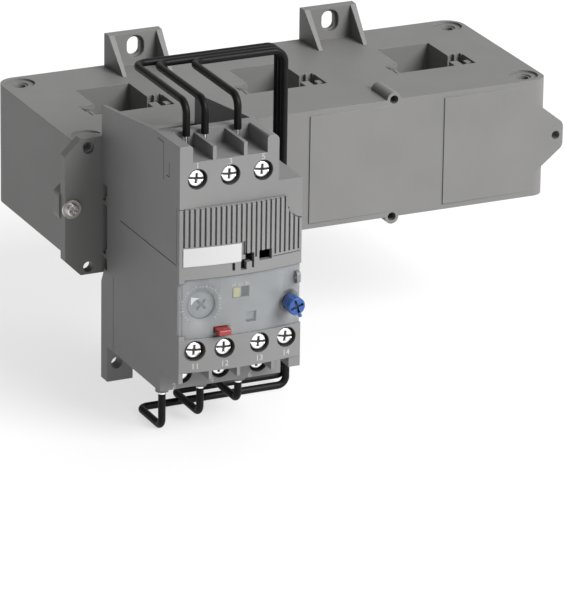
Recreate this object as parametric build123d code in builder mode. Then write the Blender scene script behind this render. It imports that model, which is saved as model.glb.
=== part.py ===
from build123d import *
import os

# Overload relay with a separate current transformer block, in millimetres.
# The origin is on the mounting panel, in the middle of the block's back face:
# X runs to the right, Y into the panel and Z up, so all of the part has Y below zero.

# Transformer block
block_width = 182.0
block_depth = 74.0
block_height = 43.6
block_corner_radius = 7.0
block_front_radius = 5.0
block_wall = 2.4
pole_margin = 32.2
window_width = 20.4
window_back = 21.6
window_front = 48.5
band_width = 32.0
band_depth = 10.8
clip_height = 6.0
clip_notch = 1.4
clip_lobe_radius = 2.9
base_thickness = 2.4
base_fit = 0.2
base_screw_radius = 1.1
base_screw_length = 8.0
base_screw_head = 2.1
base_screw_head_height = 1.2
pillar_radius = 3.5
post_radius = 2.4
corner_inset = 6.9
corner_bore_radius = 2.1
corner_ring_radius = 5.4
corner_ring_depth = 0.7
corner_sink_radius = 3.0
corner_sink_depth = 0.4
front_field_left = 2.5
front_field_right = 41.2
front_field_length = 36.0
front_field_step = 0.4

# Panel lugs on the back edge of the block
lug_spacing = 76.6
lug_width = 21.0
lug_height = 12.0
lug_thickness = 3.5
lug_rib_thickness = 2.4
lug_rib_reach = 15.0
lug_taper = 0.9
slot_width = 4.9
slot_length = 6.9
slot_height = 6.5
slot_recess_width = 7.0
slot_recess_length = 8.4
slot_recess_depth = 1.8

# Screw bosses and ears on the front of the block
boss_inset = 61.0
boss_radius = 2.65
boss_bore_radius = 1.55
boss_length = 13.0
ear_reach = 3.4
ear_tip = 2.9
ear_root_half = 13.4
ear_tip_half = 4.4
ear_tip_radius = 3.0
ear_thickness = 5.0

# Iron cores and their windings
core_limb = 5.5
core_half_width = 24.4
core_back = 8.5
core_front = 57.0
core_corner_radius = 5.0
core_height = 33.0
pad_radius = 1.8
bobbin_width = 20.0
bobbin_wall = 0.7
bobbin_flange = 1.0
winding_build = 1.8
bobbin_fit = 0.15

# Adapter plate between the block and the relay
plate_thickness = 4.0
plate_reach = 5.7
plate_return = 4.5
plate_chamfer = 5.8
plate_ear_radius = 3.0
plate_hole_inset = 3.0
plate_hole_z = -22.1
plate_hole_radius = 1.9
plate_recess_z = 21.3
plate_recess_radius = 2.2
plate_recess_depth = 1.2
plate_bore_radius = 1.5
plate_rebate_depth = 1.1
plate_rebate_drop = 2.0
rail_heights = (0.5, -18.9)
rail_depth = 4.1
rail_thickness = 1.4
rail_lip = 2.2
hook_fit = 0.15
hook_width = 8.0
washer_radius = 3.4
washer_thickness = 0.8
adapter_head_radius = 2.2
adapter_head_height = 1.5
adapter_cross = 3.2
adapter_cross_width = 0.8
adapter_screw_length = 7.0

# Relay body
relay_inset = 30.4
relay_width = 45.0
relay_depth = 65.6
relay_wall = 1.6
relay_top = 41.9
relay_rear_top = 35.9
relay_floor = 22.0
step_width = 8.7
step_top = 25.4
channel_top = 8.2
channel_bottom = -22.6
channel_depth = 4.9
case_gap = 10.2
skirt_bottom = -42.3
lower_setback = 15.4
lower_bottom = -50.6
terminal_setback = 20.1
bow = 2.3
skirt_leg = 4.2
skirt_rib_shifts = (-11.5, -1.4, 11.6)
skirt_rib_thickness = 1.2
skirt_rib_height = 3.1
relay_base_wall = 2.4
relay_base_fit = 0.1
leg_width = 9.6
leg_gap = 5.2
leg_thickness = 5.4
leg_bottom = -63.6
leg_hole_x = 3.6
leg_hole_z = -57.0
leg_hole_radius = 2.1
wall_mark_depth = 0.25
wall_marks = (
    (2.0, 2.3, -1.0, 19.9),
    (2.9, 49.6, -0.6, -0.3),
    (13.1, 13.4, 26.5, 39.8),
    (13.4, 18.0, 39.5, 39.8),
    (8.3, 8.6, 28.7, 33.8),
    (8.6, 11.0, 28.7, 29.0),
    (55.1, 55.4, -50.6, -23.0),
)

# Front cover and its openings
cover_top = 19.9
cover_bottom = -27.0
cover_thickness = 2.0
cover_rim = 1.4
cover_corner_width = 5.8
cover_corner_drop = 8.6
groove_count = 22
groove_pitch = 1.92
grille_start = 1.2
groove_width = 0.7
groove_depth = 0.9
grille_bottom = 1.4
label_width = 20.4
label_height = 6.5
label_left = 1.3
label_top = 6.0
label_thickness = 0.8
cover_slots = (
    (18.5, 19.5, -3.5, -0.8),
    (22.0, 23.1, 1.7, 6.5),
    (21.6, 23.7, -3.7, 0.1),
    (23.3, 26.5, -1.1, 2.0),
    (25.7, 26.5, -3.4, -1.1),
    (28.4, 33.2, -1.3, 2.3),
)
panel_top = -5.2
panel_recess = 1.3

# Hinged transparent cover
seal_thickness = 1.0
seal_gap = 0.15
seal_edge = 0.4
hinge_radius = 0.7
hinge_inset = 1.1
hinge_setback = 0.75
hinge_pin_radius = 0.4
hinge_pin_length = 1.0
hinge_fit = 0.06
hinge_lug_width = 1.9
hinge_lug_height = 1.3
hinge_lug_gap = 0.45
eye_inset = 1.5
eye_z = -9.9
eye_width = 1.4
eye_height = 4.0
eye_reach = 3.0
eye_fit = 0.3

# Controls on the front, placed from the relay's left side and from its middle height
dial_x = 8.3
dial_z = -15.0
dial_radius = 4.8
dial_thickness = 1.4
dial_fit = 0.2
dial_shaft_radius = 1.5
dial_cross = 4.6
dial_cross_width = 1.0
class_x = 22.3
class_z = -12.0
class_window_width = 6.2
class_window_height = 3.8
flag_x = 26.2
flag_z = -21.4
flag_window = 3.8
stop_x = 15.0
stop_z = -24.3
stop_width = 4.6
stop_height = 1.8
stop_reach = 3.0
stop_spring_rise = 0.9
knob_x = 40.2
knob_z = -17.8
knob_radius = 3.1
knob_length = 5.0
knob_gap = 1.5
knob_tab_angle = -68.0
knob_tab_reach = 4.1
knob_cross = 4.8
knob_cross_width = 0.9
knob_cross_angle = 18.0
plunger_radius = 1.6
control_fit = 0.2
frame_setback = 8.1
frame_thickness = 1.5
board_setback = 19.6
board_thickness = 1.6
board_top = 13.5
board_bottom = -24.0
trip_travel = 2.0
crossbar_z = -7.5
crossbar_height = 3.0
bridge_gap = 0.2
bridge_rise = 3.9
bridge_thickness = 0.8
spring_radius = 2.0
stop_spring_radius = 1.4
spring_wire = 0.3
bar_width = 4.6
bar_thickness = 1.2
bar_setback = 30.6
clamp_depth = 10.0
clamp_fit = 0.1
clamp_height = 8.0
top_clamp_half = 4.6
aux_clamp_half = 3.6
aux_clamp_height = 7.0
low_clamp_left = 6.2
low_clamp_right = 3.6
low_clamp_height = 7.4
funnel_bore_radius = 1.8
chamber_fit = 0.2

# Terminals
top_screw_pitch = 12.0
top_screw_z = 29.9
top_screw_shift = -4.0
pocket_floor = 36.0
pocket_depth = 15.5
pocket_wall_top = 40.7
pocket_shifts = ((-17.7, -10.5), (-9.2, 0.8), (2.1, 9.5))
pillar_inner_round = 1.2
pillar_outer_round = 2.0
low_screw_pitch = 14.1
low_screw_z = -45.3
aux_screw_outer = 16.8
aux_screw_inner = 6.4
aux_screw_z = -30.8
aux_bottom = -38.5
aux_wire_setback = 8.4
aux_wire_radius = 1.9
screw_head_radius = 2.95
screw_head_height = 1.8
screw_shank_radius = 1.5
screw_shank_length = 9.0
screw_recess_radius = 3.6
screw_sink = 0.9
screw_slot_width = 0.8
screw_slot_depth = 0.9
screw_fit = 0.15

# Leads between the block and the relay
lead_radius = 1.3
lead_pitch = 2.8
top_lead_bend = 4.2
low_lead_bend = 3.0
lead_bore_fit = 0.15
top_entry_shifts = (-14.4, -7.6, 4.4)
top_entry_setback = 13.1
top_lead_end = 40.8
top_run_z = 52.4
top_run_gap = 12.6
top_riser_gap = 16.9
top_lead_z = 12.0
top_pin_radius = 0.6
low_entry_shifts = (-18.05, -3.85, 10.35)
low_entry_setback = 23.6
low_lead_end = -54.9
low_run_z = -67.2
low_run_gap = 26.9
low_riser_gap = 14.9
low_riser_step = 0.8
low_lead_z = -4.0
funnel_radius = 2.3
funnel_bottom = -54.0
ferrule_radius = 0.8
collar_length = 0.8
lead_inside = 4.0

# Places worked out from the sizes above
half_height = block_height / 2
block_front = -block_depth
block_end = block_width / 2
pole_pitch = block_end - pole_margin
boss_offset = block_end - boss_inset
ear_offset = block_end + ear_reach
plate_front = block_front - plate_thickness
plate_height = block_height + 2 * plate_ear_radius
plate_left = block_end + plate_reach
plate_right = boss_offset + plate_return
plate_hole_x = plate_hole_inset - block_end
relay_center = relay_inset - block_end
relay_left = relay_center - relay_width / 2
relay_right = relay_center + relay_width / 2
relay_front = relay_depth - plate_front
lower_front = relay_front - lower_setback
terminal_back = relay_front - terminal_setback
frame_front = relay_front - frame_setback
board_front = relay_front - board_setback
bar_back = relay_front - bar_setback
channel_back = channel_depth - plate_front
case_back = case_gap - plate_front
leg_front = plate_front - leg_gap
leg_back = leg_front + leg_thickness
top_entry_x = [relay_center + shift for shift in top_entry_shifts]
low_entry_x = [relay_center + shift for shift in low_entry_shifts]
top_entry_y = top_entry_setback - relay_front
low_entry_y = low_entry_setback - relay_front
aux_wire_y = aux_wire_setback - relay_front
top_run_y = block_front - top_run_gap
low_run_y = block_front - low_run_gap
top_riser_x = relay_right + top_riser_gap
low_riser_x = relay_right + low_riser_gap
tower_right = relay_right - step_width
poles = (-pole_pitch, 0.0, pole_pitch)
inner_left = relay_left + relay_wall
inner_right = relay_right - relay_wall
bow_radius = ((relay_width / 2) ** 2 + bow ** 2) / (2 * bow)
bow_axis = -relay_front - bow + bow_radius
os.makedirs("parts", exist_ok=True)


def facing_front(y):
    """Plane whose normal points out of the relay's front, at depth y."""
    return Plane.XZ.offset(-y)


def facing_right(x):
    """Plane whose normal points to the right, at width x; its own x runs back and its y up."""
    return Plane.YZ.offset(x)


def block(x0, x1, y0, y1, z0, z1, mode=Mode.ADD):
    """A rectangular rib, wall or cut-out between two corners."""
    with Locations(((x0 + x1) / 2, (y0 + y1) / 2, (z0 + z1) / 2)):
        Box(x1 - x0, y1 - y0, z1 - z0, mode=mode)


def rods(places, y_front, y_back, radius, mode=Mode.ADD):
    """Round bars or bores along Y between two depths, at places given as (x, z)."""
    with Locations(*[(x, (y_front + y_back) / 2, z) for x, z in places]):
        Cylinder(radius, y_back - y_front, rotation=(90, 0, 0), mode=mode)


def posts(places, z0, z1, radius, mode=Mode.ADD):
    """Round bars or bores along Z between two heights, at places given as (x, y)."""
    with Locations(*[(x, y, (z0 + z1) / 2) for x, y in places]):
        Cylinder(radius, z1 - z0, mode=mode)


def save(piece, name):
    """Label a finished piece and write it as its own STEP file."""
    piece.part.label = name
    export_step(piece.part, "parts/" + name + ".step")


def bow_y(x, inset=0.0):
    """Depth of the bowed front at width x, or of a face parallel to it, inset behind it."""
    offset = x - relay_center
    return bow_axis - ((bow_radius - inset) ** 2 - offset ** 2) ** 0.5


def bow_arc_points(x0, x1, inset):
    """Ends and middle of an arc that runs along the bowed front, inset behind it."""
    return [(x, bow_y(x, inset)) for x in (x0, (x0 + x1) / 2, x1)]


def bow_layer(x0, x1, z, outer, inner):
    """Face at height z between two arcs that follow the bowed front at two insets."""
    with BuildSketch(Plane.XY.offset(z)) as layer:
        with BuildLine():
            front = ThreePointArc(*bow_arc_points(x0, x1, outer))
            rear = ThreePointArc(*bow_arc_points(x0, x1, inner))
            Line(front @ 0, rear @ 0)
            Line(front @ 1, rear @ 1)
        make_face()
    return layer.sketch


def bow_section(x0, x1, z, back, inset=0.0):
    """Face at height z between a flat back and the bowed front."""
    with BuildSketch(Plane.XY.offset(z)) as section:
        with BuildLine():
            front = ThreePointArc(*bow_arc_points(x0, x1, inset))
            Polyline(front @ 0, (x0, back), (x1, back), front @ 1)
        make_face()
    return section.sketch


# Transformer case: a moulded shell, open below, with one window through it for each busbar


def window_outlines(z, grow=0.0):
    """T-shaped busbar windows: a square opening with a wider band along its front."""
    back = -window_back + grow
    front = -window_front - grow
    shoulder = -window_front + band_depth + grow
    half = window_width / 2 + grow
    half_band = band_width / 2 + grow
    with BuildSketch(Plane.XY.offset(z)) as outlines:
        for pole in poles:
            with BuildLine():
                Polyline(
                    (pole - half, back),
                    (pole + half, back),
                    (pole + half, shoulder),
                    (pole + half_band, shoulder),
                    (pole + half_band, front),
                    (pole - half_band, front),
                    (pole - half_band, shoulder),
                    (pole - half, shoulder),
                    close=True,
                )
            make_face()
    return outlines.sketch


def inner_outline(z, fit=0.0):
    """Inside of the block's wall, for the hollow and, with a fit, for the base in it."""
    with BuildSketch(Plane.XY.offset(z)) as outline:
        with Locations((0, block_front / 2)):
            RectangleRounded(
                block_width - 2 * (block_wall + fit),
                block_depth - 2 * (block_wall + fit),
                block_corner_radius - block_wall,
            )
    return outline.sketch


corner_x = block_width / 2 - corner_inset
corner_places = [
    (x, y)
    for x in (-corner_x, corner_x)
    for y in (-corner_inset, block_front + corner_inset)
]
post_places = [(-pole_pitch / 2, -6.0), (pole_pitch / 2, -6.0)]
post_places += [(pole, block_front + 7.5) for pole in poles]
pad_places = [
    (pole + side * (core_half_width - core_limb / 2), y)
    for pole in poles
    for side in (-1, 1)
    for y in (-core_back - core_limb / 2, -core_front + core_limb / 2)
]
boss_places = [(x, z) for x in (-boss_offset, boss_offset) for z in (-half_height, half_height)]
ear_places = [(-ear_offset, 0), (ear_offset, 0)]
lug_centers = (-lug_spacing / 2, lug_spacing / 2)
field_starts = (-front_field_left, block_end - front_field_right)
ledge = -half_height + base_thickness
roof = half_height - block_wall / 2
top_block_z = [top_lead_z - lead * lead_pitch for lead in range(3)]
low_block_z = [low_lead_z - lead * lead_pitch for lead in range(3)]
low_risers = [low_riser_x + lead * low_riser_step for lead in range(3)]
block_entries = [(top_riser_x, z) for z in top_block_z] + list(zip(low_risers, low_block_z))


def ear_outline(side):
    """Mounting ear at mid height, at the left (-1) or right (1) end of the block's front."""
    root = side * (block_end - block_front_radius)
    tip = side * (ear_offset + ear_tip)
    with BuildSketch(facing_front(block_front + ear_thickness)) as ear:
        with BuildLine():
            Polyline(
                (root, -ear_root_half),
                (tip, -ear_tip_half),
                (tip, ear_tip_half),
                (root, ear_root_half),
                close=True,
            )
        make_face()
        tips = ear.vertices().filter_by(lambda v: abs(v.X) > block_end)
        fillet(tips, ear_tip_radius)
    return ear.sketch


with BuildPart() as transformer_case:
    with BuildSketch(Plane.XY.offset(-half_height)) as plan:
        with Locations((0, block_front / 2)):
            Rectangle(block_width, block_depth)
        fillet(plan.vertices().sort_by(Axis.Y)[-2:], block_corner_radius)
        fillet(plan.vertices().sort_by(Axis.Y)[:2], block_front_radius)
    extrude(amount=block_height)
    extrude(inner_outline(-half_height), amount=block_height - block_wall, mode=Mode.SUBTRACT)
    # Window tubes, corner pillars, screw posts and core pads hang from the roof
    extrude(window_outlines(-half_height, block_wall), amount=block_height - block_wall / 2)
    posts(corner_places, ledge, roof, pillar_radius)
    posts(post_places, ledge, roof, post_radius)
    posts(pad_places, core_height / 2, roof, pad_radius)
    extrude(window_outlines(-half_height), amount=block_height, mode=Mode.SUBTRACT)
    # Busbar clips in the band of each window
    clip_top = half_height - 0.6
    clip_low = clip_top - clip_height
    band_back = -window_front + band_depth
    with Locations(*[(pole, 0, 0) for pole in poles]):
        block(8.5, 11.7, -window_front, -window_front + 6.3, clip_low, clip_top)
        block(13.7, band_width / 2, -window_front + 2.9, -window_front + 5.7, clip_low, clip_top)
        block(-band_width / 2, -13.2, -window_front, -window_front + 5.7, clip_low, clip_top)
        block(-14.6, -14.2, -window_front + 1.0, -window_front + 5.7, clip_low, clip_top,
              Mode.SUBTRACT)
        block(10.8, 12.8, band_back, band_back + clip_notch, clip_low, half_height,
              Mode.SUBTRACT)
        block(13.8, 15.6, band_back, band_back + clip_notch, clip_low, half_height,
              Mode.SUBTRACT)
    lobes = [(pole - 12.8, band_back + 0.5) for pole in poles]
    posts(lobes, clip_low, clip_top, clip_lobe_radius)
    # Ears and screw bosses along the front
    extrude(ear_outline(1), amount=ear_thickness)
    extrude(ear_outline(-1), amount=ear_thickness)
    rods(boss_places, block_front, block_front + boss_length, boss_radius)
    rods(boss_places, block_front, block_front + boss_length - 2, boss_bore_radius, Mode.SUBTRACT)
    rods(ear_places, block_front, block_front + ear_thickness, boss_bore_radius, Mode.SUBTRACT)
    # Panel lugs: a slotted plate between two sloping ribs
    for center in lug_centers:
        block(center - lug_width / 2, center + lug_width / 2, -lug_thickness, 0,
              half_height - 0.5, half_height + lug_height)
    for center in lug_centers:
        for rib in (center - lug_width / 2, center + lug_width / 2 - lug_rib_thickness):
            with BuildSketch(facing_right(rib)):
                with BuildLine():
                    Polyline(
                        (0, half_height - 0.5),
                        (-lug_rib_reach, half_height - 0.5),
                        (-lug_rib_reach, half_height),
                        (-lug_thickness - 1.2, half_height + lug_height - 1.2),
                        (-lug_thickness, half_height + lug_height),
                        (0, half_height + lug_height),
                        close=True,
                    )
                make_face()
    extrude(amount=lug_rib_thickness)
    with BuildSketch(Plane.XY.offset(half_height)):
        for center in lug_centers:
            for side in (-1, 1):
                edge = center + side * lug_width / 2
                with BuildLine():
                    Polyline(
                        (edge, 0),
                        (edge, -lug_rib_reach),
                        (edge - side * lug_taper, -lug_rib_reach),
                        close=True,
                    )
                make_face()
    extrude(amount=lug_height, mode=Mode.SUBTRACT)
    with BuildSketch(facing_front(0)):
        with Locations(*[(center, half_height + slot_height) for center in lug_centers]):
            SlotOverall(slot_length, slot_width, rotation=90)
    extrude(amount=lug_thickness, mode=Mode.SUBTRACT)
    with BuildSketch(facing_front(slot_recess_depth - lug_thickness)):
        with Locations(*[(center, half_height + slot_height + 0.3) for center in lug_centers]):
            SlotOverall(slot_recess_length, slot_recess_width, rotation=90)
    extrude(amount=lug_rib_reach, mode=Mode.SUBTRACT)
    # Corner holes with a ringed seat, and pilot holes for the base screws
    posts(corner_places, half_height - corner_ring_depth, half_height, corner_ring_radius,
          Mode.SUBTRACT)
    posts(corner_places, half_height - corner_ring_depth - corner_sink_depth, half_height,
          corner_sink_radius, Mode.SUBTRACT)
    posts(corner_places, -half_height, half_height, corner_bore_radius, Mode.SUBTRACT)
    posts(post_places, ledge, ledge + base_screw_length, base_screw_radius + 0.05, Mode.SUBTRACT)
    # Shallow stepped fields that stand out of the front face
    with BuildSketch(Plane.XY.offset(-half_height + 2)):
        for start in field_starts:
            with BuildLine():
                Polyline(
                    (start, block_front),
                    (start, block_front - front_field_step),
                    (start + front_field_length, block_front),
                    close=True,
                )
            make_face()
    extrude(amount=block_height - 4)
    # Round holes that the six leads enter by
    rods(block_entries, block_front, block_front + block_wall, lead_radius + lead_bore_fit,
         Mode.SUBTRACT)
save(transformer_case, "transformer_case")

# Transformer base: a flat lid let into the case from below

with BuildPart() as transformer_base:
    extrude(inner_outline(-half_height, base_fit), amount=base_thickness)
    extrude(window_outlines(-half_height, block_wall + base_fit), amount=base_thickness,
            mode=Mode.SUBTRACT)
    for x in (-boss_offset, boss_offset):
        half = boss_radius + base_fit
        block(x - half, x + half, block_front, block_front + boss_length + base_fit,
              -half_height, ledge, Mode.SUBTRACT)
    posts(pad_places, ledge - base_thickness / 2, -core_height / 2, pad_radius)
    posts(corner_places, -half_height, ledge, corner_bore_radius, Mode.SUBTRACT)
    posts(post_places, -half_height, ledge, base_screw_radius + base_fit, Mode.SUBTRACT)
    posts(post_places, -half_height, -half_height + base_screw_head_height + 0.1,
          base_screw_head + base_fit, Mode.SUBTRACT)
save(transformer_base, "transformer_base")

with BuildPart() as base_screws:
    head_face = -half_height + 0.1
    posts(post_places, head_face, head_face + base_screw_head_height, base_screw_head)
    posts(post_places, head_face, ledge + base_screw_length - 1, base_screw_radius)
    with Locations(*[(x, y, head_face + 0.3) for x, y in post_places]):
        Box(2.6, 0.6, 0.6, mode=Mode.SUBTRACT)
        Box(0.6, 2.6, 0.6, mode=Mode.SUBTRACT)
save(base_screws, "base_screws")

# Iron cores, each with a bobbin and its winding on the back limb
core_middle = -(core_back + core_front) / 2
core_depth = core_front - core_back
limb_middle = -core_back - core_limb / 2


def limb_section(x, grow):
    """Rounded outline around the back limb, seen along X."""
    with BuildSketch(facing_right(x)) as section:
        with Locations((limb_middle, 0)):
            RectangleRounded(core_limb + 2 * grow, core_height + 2 * grow, 0.4 + grow / 2)
    return section.sketch


for name, pole in zip(("left", "middle", "right"), poles):
    with BuildPart() as core:
        with BuildSketch(Plane.XY.offset(-core_height / 2)):
            with Locations((pole, core_middle)):
                RectangleRounded(2 * core_half_width, core_depth, core_corner_radius)
                RectangleRounded(
                    2 * (core_half_width - core_limb),
                    core_depth - 2 * core_limb,
                    0.5,
                    mode=Mode.SUBTRACT,
                )
        extrude(amount=core_height)
    save(core, "core_" + name)

    first = pole - bobbin_width / 2
    tube = bobbin_fit + bobbin_wall
    full = tube + winding_build
    with BuildPart() as bobbin:
        extrude(limb_section(first, tube), amount=bobbin_width)
        extrude(limb_section(first, full), amount=bobbin_flange)
        extrude(limb_section(first + bobbin_width, full), amount=-bobbin_flange)
        extrude(limb_section(first, bobbin_fit), amount=bobbin_width, mode=Mode.SUBTRACT)
    save(bobbin, "bobbin_" + name)

    with BuildPart() as winding:
        coil_width = bobbin_width - 2 * bobbin_flange
        extrude(limb_section(first + bobbin_flange, full - 0.2), amount=coil_width)
        extrude(limb_section(first + bobbin_flange, tube), amount=coil_width, mode=Mode.SUBTRACT)
    save(winding, "winding_" + name)

# Terminal strip inside the block, where the leads end behind the front wall
with BuildPart() as lead_strip:
    margin = 2 * lead_radius
    block(low_riser_x - margin, top_riser_x + margin, block_front + block_wall,
          block_front + block_wall + lead_inside + 2.0,
          low_block_z[2] - margin, top_block_z[0] + margin)
    rods(block_entries, block_front + block_wall, block_front + block_wall + lead_inside,
         lead_radius + lead_bore_fit, Mode.SUBTRACT)
save(lead_strip, "lead_strip")

# Adapter plate: carries the relay on the block, with two hooked rails on its front
with BuildPart() as adapter_plate:
    with BuildSketch(facing_front(block_front)):
        with BuildLine():
            Polyline(
                (-plate_right, -plate_height / 2),
                (-plate_left + plate_chamfer, -plate_height / 2),
                (-plate_left, -plate_height / 2 + plate_chamfer),
                (-plate_left, plate_height / 2 - plate_chamfer),
                (-plate_left + plate_chamfer, plate_height / 2),
                (-plate_right, plate_height / 2),
                close=True,
            )
        make_face()
        for z in (-half_height, half_height):
            with Locations((-(boss_offset + plate_right) / 2, z)):
                Rectangle(plate_right - boss_offset + 2, 2 * plate_ear_radius)
            with Locations((-boss_offset, z)):
                Circle(plate_ear_radius)
    extrude(amount=plate_thickness)
    plate_screws = [(-ear_offset, 0), (-boss_offset, -half_height), (-boss_offset, half_height)]
    rods(plate_screws, plate_front, block_front, boss_bore_radius + 0.15, Mode.SUBTRACT)
    rods([(plate_hole_x, plate_hole_z)], plate_front, block_front, plate_hole_radius,
         Mode.SUBTRACT)
    rods([(plate_hole_x, plate_recess_z)], plate_front, block_front, plate_bore_radius,
         Mode.SUBTRACT)
    rods([(plate_hole_x, plate_recess_z)], plate_front, plate_front + plate_recess_depth,
         plate_recess_radius, Mode.SUBTRACT)
    # Rebate that parts the plate from the block along its top edge
    block(relay_left, tower_right, block_front - plate_rebate_depth, block_front,
          half_height - plate_rebate_drop, plate_height / 2, Mode.SUBTRACT)
    for z in rail_heights:
        block(relay_left + 0.4, relay_right - 0.4, plate_front - rail_depth, plate_front,
              z, z + rail_thickness)
        block(relay_left + 0.4, relay_right - 0.4, plate_front - rail_depth,
              plate_front - rail_depth + rail_thickness, z, z + rail_thickness + rail_lip)
save(adapter_plate, "adapter_plate")

with BuildPart() as adapter_washers:
    washer_front = plate_front - washer_thickness
    rods(plate_screws, washer_front, plate_front, washer_radius)
    rods(plate_screws, washer_front, plate_front, boss_bore_radius, Mode.SUBTRACT)
save(adapter_washers, "adapter_washers")

with BuildPart() as adapter_screws:
    head_front = washer_front - adapter_head_height
    rods(plate_screws, head_front, washer_front, adapter_head_radius)
    fillet(adapter_screws.faces().filter_by(Axis.Y).group_by(Axis.Y)[0].edges(), 0.5)
    rods(plate_screws, washer_front, plate_front + adapter_screw_length, boss_bore_radius - 0.05)
    with Locations(*[(x, head_front, z) for x, z in plate_screws]):
        Box(adapter_cross, 1.6, adapter_cross_width, mode=Mode.SUBTRACT)
        Box(adapter_cross_width, 1.6, adapter_cross, mode=Mode.SUBTRACT)
save(adapter_screws, "adapter_screws")

# Relay case: a tube open to the front and the back, with the terminal chambers moulded in
top_screws = [(relay_center + top_screw_shift + n * top_screw_pitch, top_screw_z)
              for n in (-1, 0, 1)]
low_screws = [(relay_center + n * low_screw_pitch, low_screw_z) for n in (-1, 0, 1)]
aux_offsets = (-aux_screw_outer, -aux_screw_inner, aux_screw_inner, aux_screw_outer)
aux_screws = [(relay_center + offset, aux_screw_z) for offset in aux_offsets]
top_entries = [(x, top_entry_y) for x in top_entry_x]
low_entries = [(x, low_entry_y) for x in low_entry_x]
screw_seat = screw_sink + screw_head_height + clamp_fit
top_clamp_front = -relay_front + screw_seat
top_clamp_back = top_entry_y + 2.9
low_clamp_front = -lower_front + screw_seat
low_clamp_back = low_clamp_front + clamp_depth
aux_fronts = [bow_y(x, screw_seat) for x, z in aux_screws]
aux_clamp_back = -relay_front + clamp_depth + 2.4
opening_back = -relay_front + cover_thickness
pocket_back = -relay_front + pocket_depth
low_wall_back = -lower_front + relay_wall
low_block_back = low_clamp_back + 4.4
low_block_top = aux_bottom - 0.7
pocket_spans = [(relay_center + start, relay_center + end) for start, end in pocket_shifts]
skirt_ribs = [relay_center + shift for shift in skirt_rib_shifts]


def cover_outline(y, fit=0.0):
    """Front view of the cover: a rectangle whose upper right corner gives way to a round."""
    top = cover_top + fit
    bottom = cover_bottom - fit
    with BuildSketch(facing_front(y)) as outline:
        with BuildLine():
            arc_start = (relay_right - cover_corner_width, top)
            arc_end = (relay_right, top - cover_corner_drop)
            Polyline(
                arc_start, (relay_left, top), (relay_left, bottom), (relay_right, bottom), arc_end
            )
            ThreePointArc(
                arc_start,
                (relay_right - cover_corner_width * 0.72, top - cover_corner_drop * 0.72),
                arc_end,
            )
        make_face()
    return outline.sketch


def edge_round(x, side, radius, back):
    """Round off the tower's top edge at width x, where the body lies to the given side of it."""
    with BuildSketch(facing_front(back)) as waste:
        with Locations((x + side * radius / 2, relay_top - radius / 2)):
            Rectangle(radius, radius)
        with Locations((x + side * radius, relay_top - radius)):
            Circle(radius, mode=Mode.SUBTRACT)
    return waste.sketch


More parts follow.
